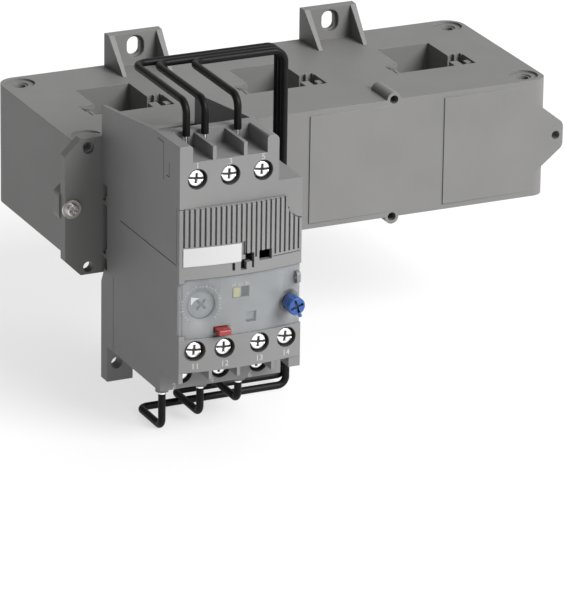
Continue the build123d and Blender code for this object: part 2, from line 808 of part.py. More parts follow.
with BuildPart() as relay_case:
    with BuildSketch(facing_right(relay_left)):
        with BuildLine():
            Polyline(
                (plate_front, relay_rear_top),
                (-terminal_back, relay_top - 0.4),
                (-relay_front, relay_top),
                (-relay_front, skirt_bottom),
                (-lower_front, skirt_bottom),
                (-lower_front, lower_bottom),
                (-case_back, lower_bottom),
                (-case_back, channel_bottom),
                (-channel_back, channel_bottom),
                (-channel_back, channel_top),
                (plate_front, channel_top),
                close=True,
            )
        make_face()
    extrude(amount=relay_width)
    block(tower_right, relay_right, -relay_front, plate_front, step_top, relay_top, Mode.SUBTRACT)
    block(inner_left, tower_right - relay_wall, -terminal_back, plate_front,
          relay_floor + relay_wall, relay_top, Mode.SUBTRACT)
    # The hollow, seen from the side, runs round the lower terminal block
    with BuildSketch(facing_right(inner_left)):
        with BuildLine():
            Polyline(
                (plate_front, relay_floor),
                (opening_back, relay_floor),
                (opening_back, cover_bottom + relay_wall),
                (low_wall_back, cover_bottom + relay_wall),
                (low_wall_back, low_block_top),
                (low_block_back, low_block_top),
                (low_block_back, lower_bottom + relay_wall),
                (plate_front, lower_bottom + relay_wall),
                close=True,
            )
        make_face()
    extrude(amount=relay_width - 2 * relay_wall, mode=Mode.SUBTRACT)
    extrude(cover_outline(opening_back), amount=relay_front, mode=Mode.SUBTRACT)
    # Bowed front of the auxiliary terminal block, and the ribs of the skirt below it
    extrude(bow_section(relay_left, relay_right, aux_bottom, -relay_front + 1),
            amount=cover_bottom - aux_bottom)
    block(inner_left, relay_right - skirt_leg, -relay_front, -lower_front, skirt_bottom,
          aux_bottom, Mode.SUBTRACT)
    for x in skirt_ribs:
        block(x - skirt_rib_thickness / 2, x + skirt_rib_thickness / 2, bow_y(x), -lower_front,
              aux_bottom - skirt_rib_height, aux_bottom)
    # Pockets over the upper terminals, open to the front
    for start, end in pocket_spans:
        block(start, end, -relay_front, pocket_back, pocket_floor, relay_top, Mode.SUBTRACT)
    pockets_left = pocket_spans[0][0]
    pockets_right = pocket_spans[2][1]
    block(pockets_left, pockets_right, -relay_front, pocket_back, pocket_wall_top,
          relay_top, Mode.SUBTRACT)
    for x, side in ((pockets_left, -1), (pockets_right, 1)):
        extrude(edge_round(x, side, pillar_inner_round, pocket_back), amount=pocket_depth,
                mode=Mode.SUBTRACT)
    extrude(edge_round(tower_right, -1, pillar_outer_round, -terminal_back),
            amount=terminal_setback, mode=Mode.SUBTRACT)
    # Chambers for the clamps, with a bore for each screw and each lead
    for x, z in top_screws:
        block(x - top_clamp_half - chamber_fit, x + top_clamp_half + chamber_fit,
              top_clamp_front, top_clamp_back + 1.8, relay_floor,
              z + clamp_height / 2 + chamber_fit, Mode.SUBTRACT)
    for (x, z), front in zip(aux_screws, aux_fronts):
        block(x - aux_clamp_half - chamber_fit, x + aux_clamp_half + chamber_fit,
              front, aux_clamp_back + 2.4,
              z - aux_clamp_height / 2 - chamber_fit, cover_bottom + relay_wall, Mode.SUBTRACT)
    for x, z in low_screws:
        block(x - low_clamp_left - chamber_fit, x + low_clamp_right + chamber_fit,
              low_clamp_front, low_block_back,
              z - low_clamp_height / 2 - chamber_fit, z + low_clamp_height / 2 + chamber_fit,
              Mode.SUBTRACT)
        block(x - bar_width / 2 - chamber_fit, x + bar_width / 2 + chamber_fit,
              -bar_back - bar_thickness - chamber_fit, low_block_back, z, low_block_top,
              Mode.SUBTRACT)
    rods(top_screws, -relay_front, top_clamp_front, screw_recess_radius, Mode.SUBTRACT)
    rods(aux_screws, -relay_front - bow, max(aux_fronts), screw_recess_radius, Mode.SUBTRACT)
    rods(low_screws, -lower_front, low_clamp_front, screw_recess_radius, Mode.SUBTRACT)
    wire_ways = [(x, aux_wire_y) for x, z in aux_screws]
    posts(wire_ways, aux_bottom, aux_screw_z, aux_wire_radius, Mode.SUBTRACT)
    posts(top_entries, top_screw_z, pocket_floor, funnel_bore_radius, Mode.SUBTRACT)
    posts(low_entries, funnel_bottom, lower_bottom + relay_wall, funnel_radius)
    posts(low_entries, funnel_bottom, low_screw_z, ferrule_radius + 0.3, Mode.SUBTRACT)
    # Fine seams and marks moulded in the left wall, placed back from the front
    for front, back, low, high in wall_marks:
        block(relay_left, relay_left + wall_mark_depth, front - relay_front, back - relay_front,
              low, high, Mode.SUBTRACT)
save(relay_case, "relay_case")

# Relay base: closes the back of the case, hooks onto the rails and ends in two screw legs
base_top = relay_floor - relay_base_fit
base_bottom = lower_bottom + relay_wall + relay_base_fit

with BuildPart() as relay_base:
    with BuildSketch(facing_right(inner_left + relay_base_fit)):
        with BuildLine():
            Polyline(
                (plate_front, base_top),
                (plate_front, channel_top),
                (-channel_back, channel_top),
                (-channel_back, channel_bottom),
                (-case_back, channel_bottom),
                (-case_back, base_bottom),
                (-case_back - relay_base_wall, base_bottom),
                (-case_back - relay_base_wall, channel_bottom + relay_base_wall),
                (-channel_back - relay_base_wall, channel_bottom + relay_base_wall),
                (-channel_back - relay_base_wall, base_top),
                close=True,
            )
        make_face()
    extrude(amount=relay_width - 2 * (relay_wall + relay_base_fit))
    # Full-width foot behind the lower terminals, cut away between the legs
    with BuildSketch(facing_right(relay_left)):
        with BuildLine():
            Polyline(
                (-case_back, channel_bottom),
                (-case_back, lower_bottom),
                (leg_front, lower_bottom),
                (leg_front, leg_bottom),
                (leg_back, leg_bottom),
                (leg_back, channel_bottom - 5.4),
                (leg_back - 2.6, channel_bottom),
                close=True,
            )
        make_face()
    extrude(amount=relay_width)
    block(relay_left + leg_width, relay_right - leg_width, leg_front, leg_back,
          leg_bottom, lower_bottom, Mode.SUBTRACT)
    legs = [(relay_left + leg_hole_x, leg_hole_z), (relay_right - leg_hole_x, leg_hole_z)]
    rods(legs, leg_front, leg_back, leg_hole_radius, Mode.SUBTRACT)
    hook_front = plate_front - rail_depth + rail_thickness + hook_fit
    hook_back = hook_front + 1.5
    shelf = rail_heights[1] + rail_thickness + rail_lip + hook_fit
    for x in (inner_left + relay_base_fit, inner_right - relay_base_fit - hook_width):
        block(x, x + hook_width, hook_front, hook_back,
              rail_heights[0] + rail_thickness + hook_fit, channel_top + 0.5)
        block(x, x + hook_width, -channel_back - 0.5, hook_back, shelf, shelf + 1.8)
        block(x, x + hook_width, hook_front, hook_back,
              rail_heights[1] + rail_thickness + hook_fit, shelf + 1.8)
save(relay_base, "relay_base")

# Front cover: bowed, ribbed above and recessed below for the transparent cover
seal_bottom = cover_bottom + 0.4
hinge_low = seal_bottom + hinge_lug_height
hinge_high = panel_top - hinge_lug_height
hinge_x = relay_left + hinge_inset
hinge_y = bow_y(hinge_x) + hinge_setback
dial_center = (relay_left + dial_x, dial_z)
class_center = (relay_left + class_x, class_z)
flag_center = (relay_left + flag_x, flag_z)
stop_center = (relay_left + stop_x, stop_z)
knob_center = (relay_left + knob_x, knob_z)
grille_left = relay_left + grille_start
label_right = relay_left + label_left + label_width

with BuildPart() as grooves:
    extrude(bow_layer(relay_left - 1, relay_right + 1, grille_bottom, -1.0, groove_depth),
            amount=cover_top - 0.6 - grille_bottom)
    with BuildSketch(facing_front(-relay_front + 3)):
        for groove in range(groove_count):
            x = grille_left + groove * groove_pitch
            low = label_top + 0.3 if x < label_right + 1.6 else grille_bottom
            with Locations((x, (low + cover_top) / 2)):
                Rectangle(groove_width, cover_top - low)
    extrude(amount=10, mode=Mode.INTERSECT)

with BuildPart() as front_cover:
    extrude(bow_section(relay_left, relay_right, cover_bottom, opening_back),
            amount=cover_top - cover_bottom)
    extrude(cover_outline(opening_back), amount=relay_front, mode=Mode.INTERSECT)
    extrude(bow_section(relay_left + cover_rim, relay_right - cover_rim, cover_bottom + cover_rim,
                        opening_back, cover_thickness),
            amount=cover_top - cover_bottom - 2 * cover_rim - cover_corner_drop,
            mode=Mode.SUBTRACT)
    extrude(bow_layer(relay_left - 1, relay_right + 1, seal_bottom, -1.0, panel_recess),
            amount=panel_top - seal_bottom, mode=Mode.SUBTRACT)
    for z in (seal_bottom, hinge_high):
        extrude(bow_layer(relay_left, relay_left + hinge_lug_width, z, 0.0, panel_recess + 0.3),
                amount=hinge_lug_height)
    add(grooves.part, mode=Mode.SUBTRACT)
    label_x = relay_left + label_left
    extrude(bow_layer(label_x - 0.1, label_x + label_width + 0.1, label_top - label_height - 0.1,
                      -1.0, label_thickness - 0.2),
            amount=label_height + 0.2, mode=Mode.SUBTRACT)
    # Windows and bores for the controls
    rods([dial_center], -relay_front - bow, opening_back, dial_radius + dial_fit, Mode.SUBTRACT)
    rods([knob_center], -relay_front - bow, opening_back, plunger_radius + control_fit,
         Mode.SUBTRACT)
    with BuildSketch(facing_front(opening_back)):
        with Locations(class_center):
            Rectangle(class_window_width, class_window_height)
        with Locations(flag_center):
            Rectangle(flag_window, flag_window)
        with Locations(stop_center):
            Rectangle(stop_width + 2 * control_fit, stop_height + 2 * control_fit)
        for x0, x1, z0, z1 in cover_slots:
            with Locations((relay_left + (x0 + x1) / 2, (z0 + z1) / 2)):
                Rectangle(x1 - x0, z1 - z0)
    extrude(amount=relay_front, mode=Mode.SUBTRACT)
    # Sealing eye that stands out through the transparent cover
    eye_x = relay_right - eye_inset
    eye_base = bow_y(eye_x, panel_recess + 0.4)
    with BuildSketch(facing_right(eye_x - eye_width / 2)) as eye:
        with Locations((eye_base - eye_reach / 2, eye_z)):
            Rectangle(eye_reach, eye_height)
        fillet(eye.vertices().sort_by(Axis.X)[:2], 1.1)
        with Locations((eye_base - eye_reach / 2 - 0.1, eye_z)):
            RectangleRounded(eye_reach - 1.4, eye_height - 2.0, 0.4, mode=Mode.SUBTRACT)
    extrude(amount=eye_width)
    # Bed and bores of the hinge, along the left edge
    posts([(hinge_x, hinge_y)], hinge_low, hinge_high, hinge_radius + 0.15, Mode.SUBTRACT)
    posts([(hinge_x, hinge_y)], hinge_low - hinge_pin_length, hinge_high + hinge_pin_length,
          hinge_pin_radius + hinge_fit, Mode.SUBTRACT)
save(front_cover, "front_cover")

with BuildPart() as label_plate:
    extrude(bow_layer(label_x, label_x + label_width, label_top - label_height,
                      -0.2, label_thickness - 0.2), amount=label_height)
save(label_plate, "label_plate")

# Transparent cover, hinged at its left edge
with BuildPart() as seal_cover:
    seal_inner = seal_gap + seal_thickness
    seal_low = seal_bottom + 0.2
    seal_high = panel_top - 0.2
    extrude(bow_layer(hinge_x, relay_right - seal_edge, seal_low, seal_gap, seal_inner),
            amount=seal_high - seal_low)
    lug_edge = relay_left + hinge_lug_width + hinge_lug_gap
    for low, high in ((seal_low, hinge_low + 0.2), (hinge_high - 0.2, seal_high)):
        block(relay_left, lug_edge, -relay_front - bow, opening_back, low, high, Mode.SUBTRACT)
    posts([(hinge_x, hinge_y)], hinge_low + 0.2, hinge_high - 0.2, hinge_radius)
    posts([(hinge_x, hinge_y)], hinge_low - hinge_pin_length + 0.15,
          hinge_high + hinge_pin_length - 0.15, hinge_pin_radius)
    rods([knob_center], -relay_front - bow, opening_back, knob_radius + 0.9, Mode.SUBTRACT)
    with BuildSketch(facing_front(opening_back)):
        with Locations((stop_center[0], (stop_z + seal_low) / 2)):
            Rectangle(stop_width + 1.4, stop_z - seal_low + stop_height + 1.4)
        notch_left = eye_x - eye_width / 2 - eye_fit
        with Locations(((notch_left + relay_right) / 2, eye_z)):
            Rectangle(relay_right - notch_left, eye_height + 2 * eye_fit)
        with Locations((knob_center[0] + 1.9, knob_z - 3.5)):
            Rectangle(2.6, 1.9)
    extrude(amount=relay_front, mode=Mode.SUBTRACT)
save(seal_cover, "seal_cover")

# Setting dial on the shaft of its potentiometer
dial_front = bow_y(dial_center[0] - dial_radius, seal_inner) + 0.25
pot_front = -board_front - 4.6

with BuildPart() as setting_dial:
    rods([dial_center], dial_front, dial_front + dial_thickness, dial_radius)
    rods([dial_center], dial_front, pot_front + 3.0, dial_shaft_radius)
    with Locations(Location((dial_center[0], dial_front, dial_z), (0, 45, 0))):
        Box(dial_cross, 1.0, dial_cross_width, mode=Mode.SUBTRACT)
        Box(dial_cross_width, 1.0, dial_cross, mode=Mode.SUBTRACT)
save(setting_dial, "setting_dial")

with BuildPart() as potentiometer:
    block(dial_center[0] - 4.4, dial_center[0] + 4.4, pot_front, -board_front,
          dial_z - 4.4, dial_z + 4.4)
    rods([dial_center], pot_front, pot_front + 3.2, dial_shaft_radius + 0.05, Mode.SUBTRACT)
save(potentiometer, "potentiometer")

# Trip class slider: a small knob in its window, with a foot that works a switch on the board
class_travel = 3.2
class_rest = class_center[0] - class_travel / 2
class_floor = bow_y(class_center[0] - 6.0, cover_thickness) + 0.25
switch_front = -board_front - 4.6

with BuildPart() as class_slider:
    block(class_rest - 1.15, class_rest + 1.15, bow_y(class_center[0], panel_recess) + 0.1,
          class_floor, class_z - 1.7, class_z + 1.7)
    block(class_rest - 3.4, class_rest + 2.2, class_floor, class_floor + 0.8,
          class_z - 2.5, class_z + 2.5)
    block(class_rest - 0.7, class_rest + 0.7, class_floor, switch_front + 2.0,
          class_z - 0.7, class_z + 0.7)
save(class_slider, "class_slider")

with BuildPart() as class_switch:
    block(class_center[0] - 4.4, class_center[0] + 3.6, switch_front, -board_front,
          class_z - 2.4, class_z + 2.4)
    block(class_rest - 1.0, class_rest + class_travel + 1.0, switch_front, switch_front + 2.3,
          class_z - 1.0, class_z + 1.0, Mode.SUBTRACT)
save(class_switch, "class_switch")

# Stop button and reset plunger, each returned by a coil spring that stands on the frame
stop_floor = bow_y(stop_center[0] - 5, cover_thickness) + 0.25
stop_flange = stop_floor + 1.0
reset_floor = bow_y(knob_center[0] + 4, cover_thickness) + 0.25
reset_flange = reset_floor + 0.8
knob_base = bow_y(knob_center[0]) - knob_gap
stop_axis = (stop_center[0], stop_z + stop_spring_rise)


def coil_spring(center, radius, front, back):
    """Round-wire compression spring along Y between two seats."""
    length = back - front - 2 * spring_wire - 0.1
    with BuildPart() as spring:
        with BuildLine():
            turns = Helix(
                pitch=length / 4,
                height=length,
                radius=radius,
                center=(center[0], back - spring_wire - 0.05, center[1]),
                direction=(0, -1, 0),
            )
        with BuildSketch(Plane(origin=turns @ 0, z_dir=turns % 0)):
            Circle(spring_wire)
        sweep(is_frenet=True)
    return spring


with BuildPart() as stop_button:
    block(stop_center[0] - stop_width / 2, stop_center[0] + stop_width / 2,
          bow_y(stop_center[0]) - stop_reach, stop_floor, stop_z - stop_height / 2,
          stop_z + stop_height / 2)
    fillet(stop_button.faces().sort_by(Axis.Y)[0].edges(), 0.4)
    block(stop_center[0] - 3.4, stop_center[0] + 3.4, stop_floor, stop_flange,
          stop_z - 1.0, stop_z + 2.0)
    rods([stop_axis], stop_flange, stop_flange + 2.4,
         stop_spring_radius - spring_wire - 0.15)
save(stop_button, "stop_button")
stop_spring = coil_spring(stop_axis, stop_spring_radius, stop_flange, -frame_front)
save(stop_spring, "stop_spring")

with BuildPart() as reset_plunger:
    rods([knob_center], knob_base - knob_length + 2.0, -frame_front - 2.4, plunger_radius - 0.25)
    rods([knob_center], knob_base, reset_flange, plunger_radius)
    rods([knob_center], reset_floor, reset_flange, spring_radius + 0.8)
save(reset_plunger, "reset_plunger")
reset_spring = coil_spring(knob_center, spring_radius, reset_flange, -frame_front)
save(reset_spring, "reset_spring")

with BuildPart() as reset_knob:
    rods([knob_center], knob_base - knob_length, knob_base, knob_radius)
    chamfer(reset_knob.edges().group_by(Axis.Y)[0], 0.35)
    with BuildSketch(facing_front(knob_base - knob_length + 1.4)):
        with Locations(knob_center):
            with PolarLocations(knob_tab_reach - 0.8, 1, start_angle=knob_tab_angle):
                Rectangle(1.6, 0.9)
    extrude(amount=1.4)
    rods([knob_center], knob_base - knob_length + 1.95, knob_base, plunger_radius - 0.2,
         Mode.SUBTRACT)
    knob_face = (knob_center[0], knob_base - knob_length, knob_z)
    with Locations(Location(knob_face, (0, -knob_cross_angle, 0))):
        Box(knob_cross, 1.8, knob_cross_width, mode=Mode.SUBTRACT)
        Box(knob_cross_width, 1.8, knob_cross, mode=Mode.SUBTRACT)
save(reset_knob, "reset_knob")

# Mechanism frame behind the cover, with the ways through it for the controls
frame_back = -frame_front + frame_thickness
bar_front = frame_back + 0.3
bar_rear = bar_front + 3.0
flag_arm_half = 1.5
coil_center = (relay_center, -board_front - 6.4)
coil_radius = 3.4

with BuildPart() as mechanism_frame:
    block(inner_left, inner_right, -frame_front, frame_back, cover_bottom + relay_wall,
          board_top)
    rods([dial_center], -frame_front, frame_back, dial_shaft_radius + control_fit, Mode.SUBTRACT)
    block(class_rest - 1.3, class_rest + class_travel + 1.3, -frame_front, frame_back,
          class_z - 1.3, class_z + 1.3, Mode.SUBTRACT)
    block(flag_center[0] - flag_arm_half - 0.3, flag_center[0] + flag_arm_half + 0.3,
          -frame_front, frame_back, flag_z - 1.8, flag_z + 1.8 + trip_travel, Mode.SUBTRACT)
save(mechanism_frame, "mechanism_frame")

# Circuit board across the case, and the coil that lifts the contact slider
with BuildPart() as circuit_board:
    block(inner_left, inner_right, -board_front, -board_front + board_thickness,
          board_bottom, board_top)
save(circuit_board, "circuit_board")

with BuildPart() as trip_coil:
    posts([coil_center], 1.5, 9.5, coil_radius)
    posts([coil_center], 1.5, 8.0, 1.1, Mode.SUBTRACT)
save(trip_coil, "trip_coil")

with BuildPart() as coil_yoke:
    block(relay_center - 3.6, relay_center + 3.6, coil_center[1] - 3.2, -board_front, 0.3, 10.7)
    block(relay_center - 3.6, relay_center + 3.6, coil_center[1] - 3.2, -board_front - 1.4,
          1.5, 9.5, Mode.SUBTRACT)
    posts([coil_center], 0.3, 1.5, 1.4, Mode.SUBTRACT)
save(coil_yoke, "coil_yoke")

# Contact slider with its flag, and the two bridges it carries
break_center = (relay_left + 10.5, crossbar_z + bridge_rise)
make_center = (relay_right - 10.5, crossbar_z + bridge_rise)
bridge_half = 6.6
tab_front = bar_front + 0.2
strip_back = bar_rear + 1.6

with BuildPart() as contact_slider:
    block(break_center[0] - 1.8, make_center[0] + 1.8, bar_front, bar_rear,
          crossbar_z - crossbar_height, crossbar_z)
    for x, z in (break_center, make_center):
        block(x - 1.4, x + 1.4, bar_front + 0.4, bar_rear - 0.4, crossbar_z, z + 2.0)
        block(x - 1.5, x + 1.5, bar_front + 0.4, bar_rear - 0.4, z, z + bridge_thickness,
              Mode.SUBTRACT)
    block(flag_center[0] - flag_arm_half, flag_center[0] + flag_arm_half, bar_front,
          bar_front + 1.5, flag_z - 1.4, crossbar_z)
    block(flag_center[0] - flag_arm_half, flag_center[0] + flag_arm_half,
          bow_y(flag_center[0], cover_thickness) + 0.4, bar_front, flag_z - 1.4, flag_z + 1.4)
    block(relay_center - 1.6, relay_center + 1.6, bar_rear, coil_center[1] + 1.4,
          crossbar_z - crossbar_height, crossbar_z)
    posts([coil_center], crossbar_z, 4.5, 1.0)
save(contact_slider, "contact_slider")

with BuildPart() as bridges:
    for x, z in (break_center, make_center):
        block(x - bridge_half, x + bridge_half, bar_front + 0.6, bar_rear - 0.6, z,
              z + bridge_thickness)
save(bridges, "contact_bridges")

with BuildPart() as fixed_contacts:
    for (x, z), (tab, terminals) in zip(
        (break_center, make_center),
        ((-bridge_gap - 0.8, aux_screws[:2]), (bridge_thickness + trip_travel + bridge_gap,
                                               aux_screws[2:])),
    ):
        for side in (-1, 1):
            strip_x = x + side * (bridge_half - 1.2)
            block(strip_x - 1.2, strip_x + 1.2, strip_back - 0.8, strip_back,
                  aux_screw_z, z + tab + 0.8)
            block(strip_x - 1.2, strip_x + 1.2, tab_front, strip_back, z + tab, z + tab + 0.8)
            block(strip_x - 1.2, strip_x + 1.2, aux_clamp_back, strip_back, aux_screw_z,
                  aux_screw_z + 2.0)
save(fixed_contacts, "fixed_contacts")

# Clamps, the straps between them and the screws
shank_bore = screw_shank_radius + screw_fit
pin_bore = ferrule_radius + screw_fit
with BuildPart() as top_terminals:
    for x, z in top_screws:
        block(x - top_clamp_half, x + top_clamp_half, top_clamp_front, top_clamp_back,
              z - clamp_height / 2, z + clamp_height / 2)
    rods(top_screws, top_clamp_front, top_clamp_back, shank_bore, Mode.SUBTRACT)
    posts(top_entries, top_screw_z, top_screw_z + clamp_height, top_pin_radius + screw_fit,
          Mode.SUBTRACT)
save(top_terminals, "top_terminals")

with BuildPart() as low_terminals:
    for x, z in low_screws:
        block(x - low_clamp_left, x + low_clamp_right, low_clamp_front, low_clamp_back,
              z - low_clamp_height / 2, z + low_clamp_height / 2)
    rods(low_screws, low_clamp_front, low_clamp_back, shank_bore, Mode.SUBTRACT)
    posts(low_entries, low_screw_z - low_clamp_height, low_screw_z, pin_bore, Mode.SUBTRACT)
save(low_terminals, "lower_terminals")

with BuildPart() as aux_terminals:
    for (x, z), front in zip(aux_screws, aux_fronts):
        block(x - aux_clamp_half, x + aux_clamp_half, front, aux_clamp_back,
              z - aux_clamp_height / 2, z + aux_clamp_height / 2)
    rods(aux_screws, min(aux_fronts), aux_clamp_back, shank_bore, Mode.SUBTRACT)
    posts(wire_ways, aux_bottom, aux_screw_z, aux_wire_radius, Mode.SUBTRACT)
save(aux_terminals, "aux_terminals")

strap_top = top_screw_z + clamp_height / 2
strap_run = board_top + 2.0
with BuildPart() as straps:
    for (x, z), (low_x, low_z) in zip(top_screws, low_screws):
        half = bar_width / 2
        block(x - half, x + half, top_clamp_back, top_clamp_back + bar_thickness,
              strap_run, strap_top)
        block(x - half, x + half, top_clamp_back, -bar_back, strap_run,
              strap_run + bar_thickness)
        with BuildSketch(facing_front(-bar_back)):
            with BuildLine():
                Polyline(
                    (x - half, strap_run + bar_thickness),
                    (x + half, strap_run + bar_thickness),
                    (x + half, 4.0),
                    (low_x + half, -10.0),
                    (low_x + half, low_z),
                    (low_x - half, low_z),
                    (low_x - half, -10.0),
                    (x - half, 4.0),
                    close=True,
                )
            make_face()
        extrude(amount=bar_thickness)
        block(low_x - half, low_x + half, low_clamp_back, -bar_back, low_z, low_z + 2.0)
save(straps, "terminal_straps")


def terminal_screws(places, fronts):
    """Cheese-head screws with a cross recess and a slot."""
    with BuildPart() as screws:
        for (x, z), front in zip(places, fronts):
            neck = front + screw_head_height
            rods([(x, z)], front, neck, screw_head_radius)
            rods([(x, z)], neck, neck + screw_shank_length, screw_shank_radius)
        chamfer(screws.faces().filter_by(Axis.Y).filter_by(lambda f: f.area > 20)
                .filter_by(lambda f: f.normal_at().Y < 0).edges(), 0.35)
        for (x, z), front in zip(places, fronts):
            with Locations((x, front, z)):
                Box(screw_head_radius * 2, 2 * screw_slot_depth, screw_slot_width,
                    mode=Mode.SUBTRACT)
                Box(screw_slot_width, 2 * screw_slot_depth, screw_head_radius * 1.2,
                    mode=Mode.SUBTRACT)
    return screws


save(terminal_screws(top_screws, [-relay_front + screw_sink] * 3), "top_screws")
save(terminal_screws(low_screws, [-lower_front + screw_sink] * 3), "lower_screws")
save(terminal_screws(aux_screws, [bow_y(x, screw_sink) for x, z in aux_screws]), "aux_screws")

# End sleeves of the leads
with BuildPart() as top_sleeves:
    posts(top_entries, top_screw_z + 1.2, top_lead_end, top_pin_radius)
save(top_sleeves, "top_sleeves")

with BuildPart() as low_sleeves:
    posts(low_entries, low_lead_end, low_lead_end + collar_length, lead_radius)
    posts(low_entries, low_lead_end + collar_length, low_screw_z - 1.2, ferrule_radius)
save(low_sleeves, "lower_sleeves")

# Six leads, each bent from its terminal round to the entry in the transformer block
lead_ends = block_front + block_wall + lead_inside


def lead(points, bend):
    """Round lead along a path of straight runs and equal bends."""
    with BuildPart() as tube:
        with BuildLine() as path:
            FilletPolyline(*points, radius=bend)
        start = (Vector(*points[1]) - Vector(*points[0])).normalized()
        with BuildSketch(Plane(origin=points[0], z_dir=start)):
            Circle(lead_radius)
        sweep()
    print("lead", round(path.wire().length, 1), "mm long, bends", bend)
    return tube


for n in range(3):
    name = ("left", "middle", "right")[n]
    x = top_entry_x[n]
    back = top_run_y - n * lead_pitch
    height = top_lead_z - n * lead_pitch
    points = [
        (x, top_entry_y, top_lead_end),
        (x, top_entry_y, top_run_z),
        (x, back, top_run_z),
        (top_riser_x, back, top_run_z),
        (top_riser_x, back, height),
        (top_riser_x, lead_ends, height),
    ]
    save(lead(points, top_lead_bend), "top_lead_" + name)
    x = low_entry_x[n]
    low = low_run_z + n * lead_pitch
    back = low_run_y + n * lead_pitch
    riser = low_riser_x + n * low_riser_step
    height = low_lead_z - n * lead_pitch
    points = [
        (x, low_entry_y, low_lead_end),
        (x, low_entry_y, low),
        (x, back, low),
        (riser, back, low),
        (riser, back, height),
        (riser, lead_ends, height),
    ]
    save(lead(points, low_lead_bend), "lower_lead_" + name)
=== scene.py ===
"""Looks of the overload relay with its transformer block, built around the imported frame."""

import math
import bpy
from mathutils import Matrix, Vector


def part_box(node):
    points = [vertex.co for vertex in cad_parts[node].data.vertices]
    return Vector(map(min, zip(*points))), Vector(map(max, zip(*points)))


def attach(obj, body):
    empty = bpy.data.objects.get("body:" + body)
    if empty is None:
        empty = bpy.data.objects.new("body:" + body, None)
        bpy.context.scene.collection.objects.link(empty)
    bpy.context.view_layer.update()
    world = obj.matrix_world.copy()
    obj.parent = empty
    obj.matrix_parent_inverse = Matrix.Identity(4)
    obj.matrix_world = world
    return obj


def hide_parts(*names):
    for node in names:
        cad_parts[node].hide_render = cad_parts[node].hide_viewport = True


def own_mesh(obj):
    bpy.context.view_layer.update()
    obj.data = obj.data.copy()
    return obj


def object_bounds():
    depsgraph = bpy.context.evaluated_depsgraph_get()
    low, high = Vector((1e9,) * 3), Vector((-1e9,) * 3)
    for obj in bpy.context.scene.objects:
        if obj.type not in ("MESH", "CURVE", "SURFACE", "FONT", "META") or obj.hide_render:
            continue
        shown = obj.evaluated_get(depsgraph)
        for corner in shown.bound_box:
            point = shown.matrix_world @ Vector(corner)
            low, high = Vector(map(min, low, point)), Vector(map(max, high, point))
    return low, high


bl_info = {
    "name": "Overload Relay",
    "version": (1, 0, 0),
    "blender": (4, 5, 0),
    "location": "View3D > Sidebar > Relay",
    "description": "Finishes, printed marks, terminal screws and studio for an overload relay",
    "category": "Object",
}

import bmesh
import bpy
from bpy.props import FloatProperty, FloatVectorProperty, IntProperty, PointerProperty
from mathutils import Matrix, Vector

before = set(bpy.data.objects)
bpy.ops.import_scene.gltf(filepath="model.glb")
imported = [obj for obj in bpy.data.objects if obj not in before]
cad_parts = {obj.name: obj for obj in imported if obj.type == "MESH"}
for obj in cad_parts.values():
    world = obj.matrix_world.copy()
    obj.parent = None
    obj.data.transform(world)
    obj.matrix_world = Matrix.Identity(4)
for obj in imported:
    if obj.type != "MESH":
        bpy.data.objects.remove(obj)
CAD_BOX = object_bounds()

MM = 0.001
FINISHED = "_finish"


def middle(low, high):
    """Centre of a piece's box, as seen from the front."""
    return (low[0] + high[0]) / 2, (low[2] + high[2]) / 2


# Places on the relay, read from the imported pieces
COVER_LOW, COVER_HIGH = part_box("front_cover")
DIAL_LOW, DIAL_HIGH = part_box("setting_dial")
KNOB_LOW, KNOB_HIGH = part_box("reset_knob")
RELAY_LEFT, RELAY_RIGHT = COVER_LOW[0], COVER_HIGH[0]
RELAY_MIDDLE = (RELAY_LEFT + RELAY_RIGHT) / 2
COVER_TOP = COVER_HIGH[2]
DIAL_FRONT, DIAL_CENTER = DIAL_LOW[1], middle(DIAL_LOW, DIAL_HIGH)
KNOB_FRONT, KNOB_X = KNOB_LOW[1], middle(KNOB_LOW, KNOB_HIGH)[0]
KNOB_CENTER = middle(*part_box("reset_plunger"))
SELECTOR_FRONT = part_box("class_slider")[0][1]

# The relay's front, which is bowed, the recess of its panel and the front of the lower terminals
RELAY_FRONT = -143.6 * MM
LOWER_FRONT = -128.2 * MM
BOW = 2.3 * MM
BOW_RADIUS = (((RELAY_RIGHT - RELAY_LEFT) / 2) ** 2 + BOW**2) / (2 * BOW)
PANEL_RECESS = 1.3 * MM

# The front cover: its hollow corner, what bounds its grooves, which end above the label up to a
# limit, the line under them, and its slots as left, right, low and high in millimetres, across
# from the left edge. A cutter runs past what it cuts by the lap.
CORNER_WIDTH, CORNER_DROP = 5.8 * MM, 8.6 * MM
CORNER_HOLLOW = 0.72
LABEL_RIGHT = RELAY_LEFT + 21.7 * MM
LABEL_TOP = 6.0 * MM
LABEL_GAP = 0.3 * MM
SHORT_LIMIT = LABEL_RIGHT + 1.3 * MM
GRILLE_BOTTOM = 0.2 * MM
LINE_START = LABEL_RIGHT + 11.9 * MM
LINE_DROP = 0.7 * MM
LINE_WIDTH, LINE_DEPTH = 0.3 * MM, 0.5 * MM
SEAM_DEPTH = 0.7 * MM
SHALLOW_SLOT = (22.0, 23.1, 1.7, 6.5)
OPEN_SLOTS = ((23.3, 26.5, -1.1, 2.0), (28.4, 33.2, -1.3, 2.3))
OPEN_DEPTH = 2.6 * MM
LAP = 0.1 * MM

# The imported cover's own, coarser grooves, as far as they are filled, and what closes the notch
PACKED_GROOVES = 22
PACKED_START, PACKED_PITCH, PACKED_HALF = 1.2 * MM, 1.92 * MM, 0.36 * MM
PACKED_LIMIT = LABEL_RIGHT + 1.6 * MM
PACKED_BOTTOM = 1.4 * MM
FILL_FRONT, FILL_BACK = -0.002 * MM, 0.96 * MM
NOTCH_FRONT, NOTCH_BACK, NOTCH_DROP = 0.7 * MM, 1.9 * MM, 0.22 * MM

